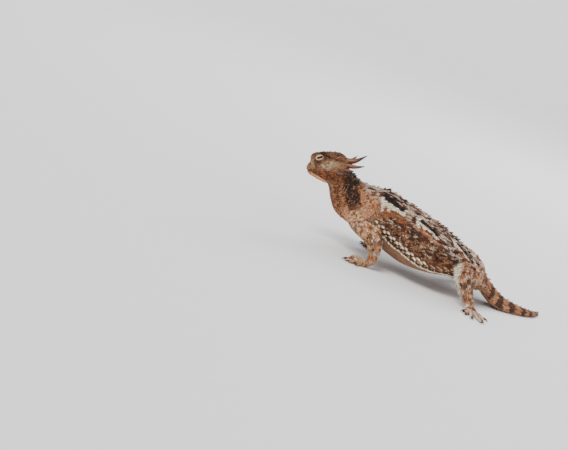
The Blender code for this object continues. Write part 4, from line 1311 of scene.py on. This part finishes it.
def lay_head(coat, form):
    """Crown plates, brow and temple rows, lips, chin plates and cheek scales."""
    rng = coat.rng
    cell = form.cell

    def place_of(x, z, way):
        """Place on the bake unwrap."""
        share = np.clip((11.5 - x) / 17.0, 0.0, 1.0)
        turn = 0.5 - way * 0.25 * (1.0 - z / 9.0)
        return (cell[0] + share * cell[2], cell[1] + turn * cell[3])

    def single(kind, point, out, lie, size, way, **how):
        """One scale on one side of the head."""
        here = from_head(np.array(point) * (1, way, 1))[None]
        normal = turn_from_head(unit(np.array(out) * (1, way, 1)))[None]
        back = turn_from_head(unit(np.array(lie) * (1, way, 1)))[None]
        place = np.array([place_of(point[0], point[2], way)])
        coat.add("head_scales", kind, here, normal, back, np.array([size]), place,
                 limit=1.6, **how)

    for way in (1, -1):
        for k in range(8):
            x = 10.5 - 1.06 * k
            point = head_side(x, mouth_height(x) - 0.86)
            single("square", point, (0.15, 0.95, -0.35), (-0.85, 0.25, -0.5),
                   (1.42, 1.12, 0.7), way, tint="lip")
            point = head_side(x - 0.4, mouth_height(x) - 1.72)
            single("plate", point, (0.1, 0.8, -0.6), (-0.85, 0.25, -0.5),
                   (1.05, 0.85, 0.6), way)
        for k in range(11):
            x = 10.8 - 0.55 * k
            point = head_side(x, mouth_height(x) - 0.30)
            single("plate", point, (0.2, 1.0, -0.2), (-0.85, 0.25, -0.5),
                   (0.60, 0.34, 0.36), way, tint="clay")
            point = head_side(x, mouth_height(x) + 0.42)
            single("plate", point, (0.2, 1.0, 0.1), (-0.85, 0.25, -0.5),
                   (0.62, 0.52, 0.42), way, tint=(None, "umber", None)[k % 3])
        for rows, count, size in ((BROW, 8, (1.05, 0.8, 0.75)), (TEMPLE, 6, (1.2, 0.95, 1.0))):
            line = curve([point for point, _ in rows], np.linspace(0, len(rows) - 1, count))
            for k, point in enumerate(line):
                ahead = line[min(k + 1, count - 1)] - line[max(k - 1, 0)]
                out = np.array((0.0, 0.75, 0.65))
                single("keeled", point + out * 0.4, out, ahead, np.array(size), way,
                       lean=0.15)
    crown = form.rows((0.34, 0.93), 1.0, (0.09, 0.41))
    sizes = coat.varied(len(crown[0]), (1.08, 1.02, 0.75), 0.2)
    sizes[:, 2] *= rng.choice((0.7, 0.9, 1.3), len(sizes))
    coat.cover("head_scales", "bump", form, *crown, sizes, limit=1.6)
    snout = form.rows((0.02, 0.36), 0.62, (0.0, 0.5))
    sizes = coat.varied(len(snout[0]), (0.70, 0.66, 0.45), 0.15)
    coat.cover("head_scales", "plate", form, *snout, sizes, limit=1.6)
    for arc in ((-0.13, 0.10), (0.40, 0.63)):
        cheek = form.rows((0.2, 0.96), 0.72, arc)
        sizes = coat.varied(len(cheek[0]), (0.86, 0.76, 0.62), 0.2)
        coat.cover("head_scales", "keeled", form, *cheek, sizes, limit=1.6)
    throat = form.rows((0.06, 0.96), 0.50, (0.6, 0.9))
    sizes = coat.varied(len(throat[0]), (0.56, 0.52, 0.36), 0.15)
    coat.cover("head_scales", "granule", form, *throat, sizes, limit=1.6)
    for root, bend, _, radius in HORNS.values():
        axis = unit(np.array(bend) - np.array(root))
        for way in (1, -1):
            side = unit(np.cross(axis, (0.0, 0.0, 1.0)))
            rise = np.cross(side, axis)
            for ring, share in ((1.12, 0.55), (1.5, 0.1)):
                for k in range(9):
                    angle = math.tau * (k + ring) / 9
                    out = side * math.cos(angle) + rise * math.sin(angle)
                    point = np.array(root) + axis * share * 1.6 + out * radius * ring
                    single("keeled", point, out, axis, (1.0, 0.8, 0.7), way, lean=0.2)


def lay_limb(coat, leg, forms):
    """Keeled scales in rows down a leg, with larger pointed ones on its rear edge."""
    rng = coat.rng
    piece = leg + "_scales"
    form = forms[0]
    along = np.tile(np.linspace(0.3, 0.86, 13), 3)
    around = np.repeat((0.06, 0.2, 0.34), 13) + rng.uniform(-0.03, 0.03, 39)
    sizes = coat.varied(len(along), (1.3, 1.05, 1.25), 0.2)
    coat.cover(piece, "spine", form, along, around, sizes, lean=0.8)
    along, around = form.rows((0.10, 0.985), 0.72)
    along = along + rng.uniform(-0.1, 0.1, len(along)) * 0.7 / form.length
    taper = 1.08 - 0.35 * fade(along, 0.55, 0.95)
    sizes = coat.varied(len(along), (0.92, 0.80, 0.62), 0.16) * taper[:, None]
    coat.cover(piece, "keeled", form, along, around, sizes)
    for digit in forms[1:]:
        along, around = digit.rows((0.12, 1.0), 0.5)
        sizes = coat.varied(len(along), (0.66, 0.52, 0.34), 0.12)
        coat.cover(piece, "keeled", digit, along, around, sizes)


def node(tree, kind, **inputs):
    """A shader node with its sockets set by name."""
    made = tree.nodes.new(kind)
    for name, value in inputs.items():
        made.inputs[name.replace("_", " ")].default_value = value
    return made


def new_material(name, rough, specular):
    """A material with its roughness and specular level set."""
    material = bpy.data.materials.new(name)
    material.use_nodes = True
    tree = material.node_tree
    shader = tree.nodes["Principled BSDF"]
    shader.inputs["Roughness"].default_value = rough
    shader.inputs["Specular IOR Level"].default_value = specular
    return material, tree, shader


def own_colours(tree):
    """The markings that a piece carries."""
    marks = tree.nodes.new("ShaderNodeAttribute")
    marks.attribute_name = "tint"
    return marks.outputs["Color"]


def own_noise(tree, scale, detail):
    """Noise in the piece's own place."""
    place = tree.nodes.new("ShaderNodeTexCoord")
    noise = node(tree, "ShaderNodeTexNoise", Scale=scale, Detail=detail, Roughness=0.6)
    tree.links.new(place.outputs["Object"], noise.inputs["Vector"])
    return noise.outputs["Fac"]


def mottled(tree, base, low, high, scale):
    """The base colour made lighter and darker by fine noise."""
    ramp = node(tree, "ShaderNodeMapRange", From_Min=0.3, From_Max=0.7, To_Min=low, To_Max=high)
    tree.links.new(own_noise(tree, scale, 3.0), ramp.inputs["Value"])
    mix = tree.nodes.new("ShaderNodeMix")
    mix.data_type = "RGBA"
    mix.blend_type = "MULTIPLY"
    mix.inputs["Factor"].default_value = 1.0
    tree.links.new(base, mix.inputs["A"])
    tree.links.new(ramp.outputs["Result"], mix.inputs["B"])
    return mix.outputs["Result"]


def marked_material(name):
    """Skin, scales or horn: the markings of the piece, with fine grain."""
    rough, specular, mottling, (scale, strength, distance) = FINISHES[name]
    material, tree, shader = new_material(name, rough, specular)
    result = mottled(tree, own_colours(tree), *mottling)
    tree.links.new(result, shader.inputs["Base Color"])
    bump = node(tree, "ShaderNodeBump", Strength=strength, Distance=distance)
    tree.links.new(own_noise(tree, scale, 4.0), bump.inputs["Height"])
    tree.links.new(bump.outputs["Normal"], shader.inputs["Normal"])
    return material


def eye_material():
    """Wet dark eye with a brown iris towards its edge."""
    material, tree, shader = new_material("wet_eye", 0.14, 0.3)
    tree.links.new(own_colours(tree), shader.inputs["Base Color"])
    shader.inputs["Coat Weight"].default_value = 0.2
    shader.inputs["Coat Roughness"].default_value = 0.08
    return material


def make_horn(name, horn, way, material, side_name):
    """A grooved, slightly ringed horn with a dark tip."""
    root, bend, tip, radius = HORNS[horn]
    line = [from_head(np.array(point) * (1, way, 1)) for point in (root, bend, tip)]
    rings = tube_rings(line, (radius, radius * 0.62, 0.12), *HORN_RINGS, 0.0)
    share = np.linspace(0.0, 1.0, HORN_RINGS[0])[:, None, None]
    turn = (np.arange(HORN_RINGS[1]) / HORN_RINGS[1] * math.tau)[None, :, None]
    middles = rings.mean(axis=1, keepdims=True)
    groove = 1.0 - 0.055 * np.abs(np.sin(turn * 4.5 + 0.8 * share)) * (1.0 - share)
    ridges = 1.0 + 0.03 * np.sin(share * 60.0 + 1.5 * np.sin(turn * 2)) * (1.0 - share) ** 1.5
    rings = middles + (rings - middles) * groove * ridges
    item = draw_out(name, Form(rings), HORN_RINGS[1], HORN_RINGS[0] + 2)
    points = points_of(item)
    ends = np.array(line)
    along = np.clip(np.linalg.norm(points - ends[0], axis=1)
                    / np.linalg.norm(ends[2] - ends[0]), 0.0, 1.0)
    streak = grain(points * (0.35, 0.35, 1.0), 0.5, 71)
    tint = paint(flat_tint(points, "horn"), "clay", 0.3 + 0.7 * streak)
    tint = paint(tint, "lip", (1.0 - fade(along, 0.05, 0.4)) * 0.3)
    tint = paint(tint, "horn_tip", fade(along + 0.12 * streak, 0.45, 0.9) * 0.92)
    tint = toned(tint, "horn") * HORN_SHADE[horn]
    set_tint(item.data, tint)
    item.data.shade_smooth()
    return finish_piece(item, material, "horn", horn + "_" + side_name)


def eye_axes(way):
    """The eye's middle and its forward, up and outward ways in the head's frame."""
    tilt = math.radians(SLIT_TILT)
    forward = np.array((math.cos(tilt), 0.0, -math.sin(tilt)))
    up = np.array((math.sin(tilt), 0.0, math.cos(tilt)))
    return np.array(EYE_PLACE) * (1, way, 1), forward, up, np.array((0.0, float(way), 0.0))


def lid_edge(turn):
    """Outer outline of the lids, shorter towards the snout."""
    ahead = np.where(np.cos(turn) > 0, LID_FRONT, LID_REACH[0])
    return np.stack([ahead * np.cos(turn), LID_REACH[1] * np.sin(turn)], axis=-1)


def slit_edge(turn):
    """Opening between the lids: an almond drawn to a point at each corner."""
    low = np.where(np.sin(turn) > 0, SLIT[1], SLIT[2])
    return np.stack([SLIT[0] * np.cos(turn),
                     low * np.sin(turn) * np.abs(np.sin(turn)) ** 0.25], axis=-1)


def make_lids(side_name, way, material):
    """Upper and lower lid as one rolled ring round the slit."""
    bpy.ops.object.select_all(action="DESELECT")
    bpy.ops.mesh.primitive_torus_add(major_segments=72, minor_segments=28,
                                     major_radius=1.0, minor_radius=0.4)
    item = bpy.context.object
    item.name = "eyelids_" + side_name
    points = points_of(item)
    turn = np.arctan2(points[:, 1], points[:, 0])
    ring = np.arctan2(points[:, 2], np.hypot(points[:, 0], points[:, 1]) - 1.0)
    share = (1.0 + np.cos(ring)) / 2.0
    upper = np.sin(ring)
    edge = slit_edge(turn)
    flat = edge + (lid_edge(turn) - edge) * share[:, None] ** 1.15
    creases = 0.07 * np.cos(share * 3.0 * math.tau) * (1.0 - share) * (upper > 0)
    rim = 0.14 * np.exp(-((share - 0.08) / 0.1) ** 2) * (upper > 0)
    radius = LID_RADIUS + LID_HALF * upper + creases + rim - 0.34 * fade(share, 0.72, 1.0)
    depth = np.sqrt(np.maximum(radius ** 2 - np.sum(flat ** 2, axis=1), 0.05))
    eye, forward, up, out = eye_axes(way)
    local = eye + forward * flat[:, :1] + up * flat[:, 1:] + out * depth[:, None]
    set_points(item, from_head(local))
    face_outward(item)
    spots = grain(from_head(local), 0.35, 81)
    tint = paint(flat_tint(points, "lid"), "rust", 0.15 + 0.3 * spots)
    tint = paint(tint, "bark", fade(share, 0.25, 0.55) * 0.85)
    # The lid ring's inner side, towards the eyeball, painted dark: painted shade between lid
    # and eye
    tint = paint(tint, "umber", fade(-upper, 0.0, 0.5))
    set_tint(item.data, tint)
    item.data.shade_smooth()
    return finish_piece(item, material, "skin")


def lay_lids(coat, form):
    """Rings of small beads on the lids, palest along the slit."""
    for way in (1, -1):
        eye, forward, up, out = eye_axes(way)
        for share, count, size, tint in LID_BEADS:
            turn = (np.arange(count) + share * 3.0) / count * math.tau
            edge = slit_edge(turn)
            flat = edge + (lid_edge(turn) - edge) * share
            radius = LID_RADIUS + LID_HALF - 0.03 - 0.8 * max(share - 0.55, 0.0)
            depth = np.sqrt(np.maximum(radius ** 2 - np.sum(flat ** 2, axis=1), 0.05))
            arm = forward * flat[:, :1] + up * flat[:, 1:] + out * depth[:, None]
            roots = from_head(eye + arm)
            normals = turn_from_head(unit(arm))
            lies = turn_from_head(unit(forward * flat[:, :1] + up * flat[:, 1:]))
            lies = unit(lies - normals * np.sum(lies * normals, axis=1, keepdims=True))
            left, bottom, width, height = form.cell
            for k in range(count):
                place = (left + width * (0.24 + 0.012 * flat[k, 0]),
                         bottom + height * (0.5 - way * 0.38 + 0.01 * flat[k, 1]))
                coat.free(roots[k], size)
                sizes = np.array((size, size, size * 0.8))
                coat.rows.append(Seat("head_scales", "granule", roots[k], normals[k], lies[k],
                                      sizes, place, tint, 1.0))


def make_eye(side_name, way, material):
    """Eyeball, narrower than deep so that it stays behind the lids."""
    item = new_ball("eyeball_" + side_name, 40, 28)
    points = points_of(item)
    eye, forward, up, out = eye_axes(way)
    turned_points = ((forward * points[:, :1] + up * points[:, 1:2]) * EYE_WIDTH
                     + out * points[:, 2:3] * EYE_RADIUS)
    set_points(item, from_head(eye + turned_points))
    face_outward(item)
    iris = np.hypot(points[:, 0], points[:, 1]) * EYE_RADIUS
    tint = paint(flat_tint(points, "soot") * 0.2, "umber",
                 fade(iris, 0.75, 0.95) * 0.8)
    set_tint(item.data, tint)
    item.data.shade_smooth()
    return finish_piece(item, material, "eye", "eye_" + side_name)


def make_claws(leg, material):
    """Curved claws at the ends of one foot's toes."""
    kind = leg.split("_")[0]
    claws = []
    for number in range(len(DIGITS[kind])):
        path, _, ahead = digit_line(leg, number)
        radius = DIGIT_RADIUS[kind]
        end = path[-1] + np.array((0.0, 0.0, radius * 0.25))
        line = [end - ahead * 0.4, end + ahead * CLAW_LENGTH * 0.5
                + np.array((0.0, 0.0, 0.08)),
                end + ahead * (CLAW_LENGTH * 0.97) - np.array((0.0, 0.0, 0.42))]
        line[2][2] = max(line[2][2], 0.06)
        rings = tube_rings(line, (radius * 0.52, radius * 0.36, 0.05), *CLAW_RINGS, 0.0, 1.15)
        claws.append(draw_out(f"claw_{number}", Form(rings), CLAW_RINGS[1], CLAW_RINGS[0] + 2))
    item = claws[0]
    select_only(*claws[1:], item)
    bpy.ops.object.join()
    item.name = leg.replace("leg", "claws")
    points = points_of(item)
    points[:, 2] = np.maximum(points[:, 2], 0.0)
    set_points(item, points)
    tint = paint(flat_tint(points, "claw"), "bark", 0.3 + 0.5 * grain(points, 0.5, 91))
    set_tint(item.data, tint)
    item.data.shade_smooth()
    return finish_piece(item, material, "horn")


# Camera: degrees, millimetres from the aim, lens, and the shift of the aim in the picture
VIEW_PITCH = 12.0
VIEW_ROLL = 21.0
VIEW_DISTANCE = 536.5
VIEW_LENS = 85.0
AIM = (0.0, -16.0, 0.0)
AIM_RIGHT = -29.6
AIM_UP = 15.6

# Studio in metres: the flat floor, the cove round it, then lights with their way or place,
# spread or width, power and colour
FLOOR_RADIUS = 0.6
FLOOR_COLOUR = (0.84, 0.85, 0.86, 1.0)
COVE_STEPS = 24
COVE_TURN = 3.0
COVE_RUN = 0.12
KEY_LIGHT = ((-0.5, -0.62, 0.8), 24.0, 3.4, (1.0, 0.965, 0.91))
FILL_LIGHT = ((0.45, -0.6, 0.22), 0.5, 1.6, (1.0, 0.98, 0.95))
RIM_LIGHT = ((0.25, 0.55, 0.45), 0.4, 2.6, (1.0, 0.98, 0.95))
GLOW_COLOUR = (0.90, 0.93, 1.0, 1.0)
GLOW_POWER = 0.7


def view_axes():
    """Right, ahead and up of the photo's view in the animal's frame."""
    turn = Matrix.Rotation(math.radians(-VIEW_PITCH), 3, "X")
    turn = turn @ Matrix.Rotation(math.radians(-VIEW_ROLL), 3, "Y")
    return [np.array(turn @ Vector(axis)) for axis in ((1, 0, 0), (0, 1, 0), (0, 0, 1))]


def make_camera():
    """Camera at the photo's angle and framing."""
    right, ahead, up = view_axes()
    target = np.array(AIM) + right * AIM_RIGHT + up * AIM_UP
    place = (target - ahead * VIEW_DISTANCE) * MM + SHIFT
    data = bpy.data.cameras.new("photo_view")
    data.lens = VIEW_LENS
    data.sensor_width = 36.0
    data.clip_start = 0.02
    data.clip_end = 20.0
    camera = bpy.data.objects.new("photo_view", data)
    bpy.context.scene.collection.objects.link(camera)
    matrix = Matrix([(right[k], up[k], -ahead[k], place[k]) for k in range(3)] + [(0, 0, 0, 1)])
    camera.matrix_world = matrix
    bpy.context.scene.camera = camera


def area_light(name, place, size, power, tint):
    """Soft round light aimed at the animal."""
    data = bpy.data.lights.new(name, "AREA")
    data.shape = "DISK"
    data.size = size
    data.energy = power
    data.color = tint
    item = bpy.data.objects.new(name, data)
    item.location = place
    way = Vector((0.0, 0.0, 0.015)) - Vector(place)
    item.rotation_euler = way.to_track_quat("-Z", "Y").to_euler()
    bpy.context.scene.collection.objects.link(item)


def sun_light(name, way, spread, power, tint):
    """Even light from far off, soft because its source looks many degrees wide."""
    data = bpy.data.lights.new(name, "SUN")
    data.angle = math.radians(spread)
    data.energy = power
    data.color = tint
    item = bpy.data.objects.new(name, data)
    item.rotation_euler = Vector(way).to_track_quat("Z", "Y").to_euler()
    bpy.context.scene.collection.objects.link(item)


def make_studio():
    """A pale floor that curves up all round, soft lights and an even glow."""
    bpy.ops.object.select_all(action="DESELECT")
    bpy.ops.mesh.primitive_circle_add(vertices=96, radius=FLOOR_RADIUS, fill_type="NGON")
    floor = bpy.context.object
    floor.name = "studio_floor"
    bpy.ops.object.mode_set(mode="EDIT")
    bpy.ops.mesh.select_all(action="SELECT")
    reach = FLOOR_RADIUS
    for step in range(COVE_STEPS):
        angle = math.radians(COVE_TURN * (step + 0.5))
        bpy.ops.mesh.extrude_region_move(TRANSFORM_OT_translate={
            "value": (0.0, 0.0, COVE_RUN * math.sin(angle))})
        wider = reach + COVE_RUN * math.cos(angle)
        bpy.ops.transform.resize(value=(wider / reach, wider / reach, 1.0))
        reach = wider
    bpy.ops.mesh.delete(type="ONLY_FACE")
    bpy.ops.object.mode_set(mode="OBJECT")
    floor.data.shade_smooth()
    material, _, shader = new_material("pale_floor", 0.85, 0.2)
    shader.inputs["Base Color"].default_value = FLOOR_COLOUR
    floor.data.materials.append(material)
    sun_light("key", *KEY_LIGHT)
    area_light("fill", *FILL_LIGHT)
    area_light("rim", *RIM_LIGHT)
    world = bpy.data.worlds.new("soft_glow")
    world.use_nodes = True
    glow = world.node_tree.nodes["Background"]
    glow.inputs["Color"].default_value = GLOW_COLOUR
    glow.inputs["Strength"].default_value = GLOW_POWER
    bpy.context.scene.world = world


def main():
    """Camera and studio, then the skin, its coat, eyes, horns and claws."""
    make_camera()
    make_studio()
    forms = make_forms()
    families = {name: Family(parts) for name, parts in forms.items()}
    skin_finish, scale_finish, keratin = [marked_material(name) for name in FINISHES]
    wet = eye_material()
    skin = make_skin(forms, families)
    coat = Coat(skin)
    lay_lids(coat, forms["head"][0])
    lay_head(coat, forms["head"][0])
    lay_trunk(coat, forms["trunk"][0])
    for leg in LEGS:
        lay_limb(coat, leg, forms[leg])
    skin_points, skin_normals = points_of(skin), normals_of(skin)
    coat.fill(skin_points, skin_normals, FILL_SIZE)
    roots = np.array([row.root for row in coat.rows])
    tints = markings(roots, families)
    for k, row in enumerate(coat.rows):
        if row.tint is not None:
            tints[k] = colour(row.tint)
    for piece in sorted({row.piece for row in coat.rows}):
        coat.make(piece, scale_finish, tints)
    # Skin markings darkened by SKIN_SHADE: painted shade in the gaps between the scales
    set_tint(skin.data, markings(skin_points, families) * SKIN_SHADE)
    flesh = ["head", "neck", "torso", "tail", *LEGS]
    finish_piece(skin, skin_finish, "skin", *flesh)
    for side_name, way in (("left", 1), ("right", -1)):
        make_lids(side_name, way, skin_finish)
        make_eye(side_name, way, wet)
        for horn in HORNS:
            make_horn(horn + "_keratin_" + side_name, horn, way, keratin, side_name)
    for leg in LEGS:
        make_claws(leg, keratin)


main()
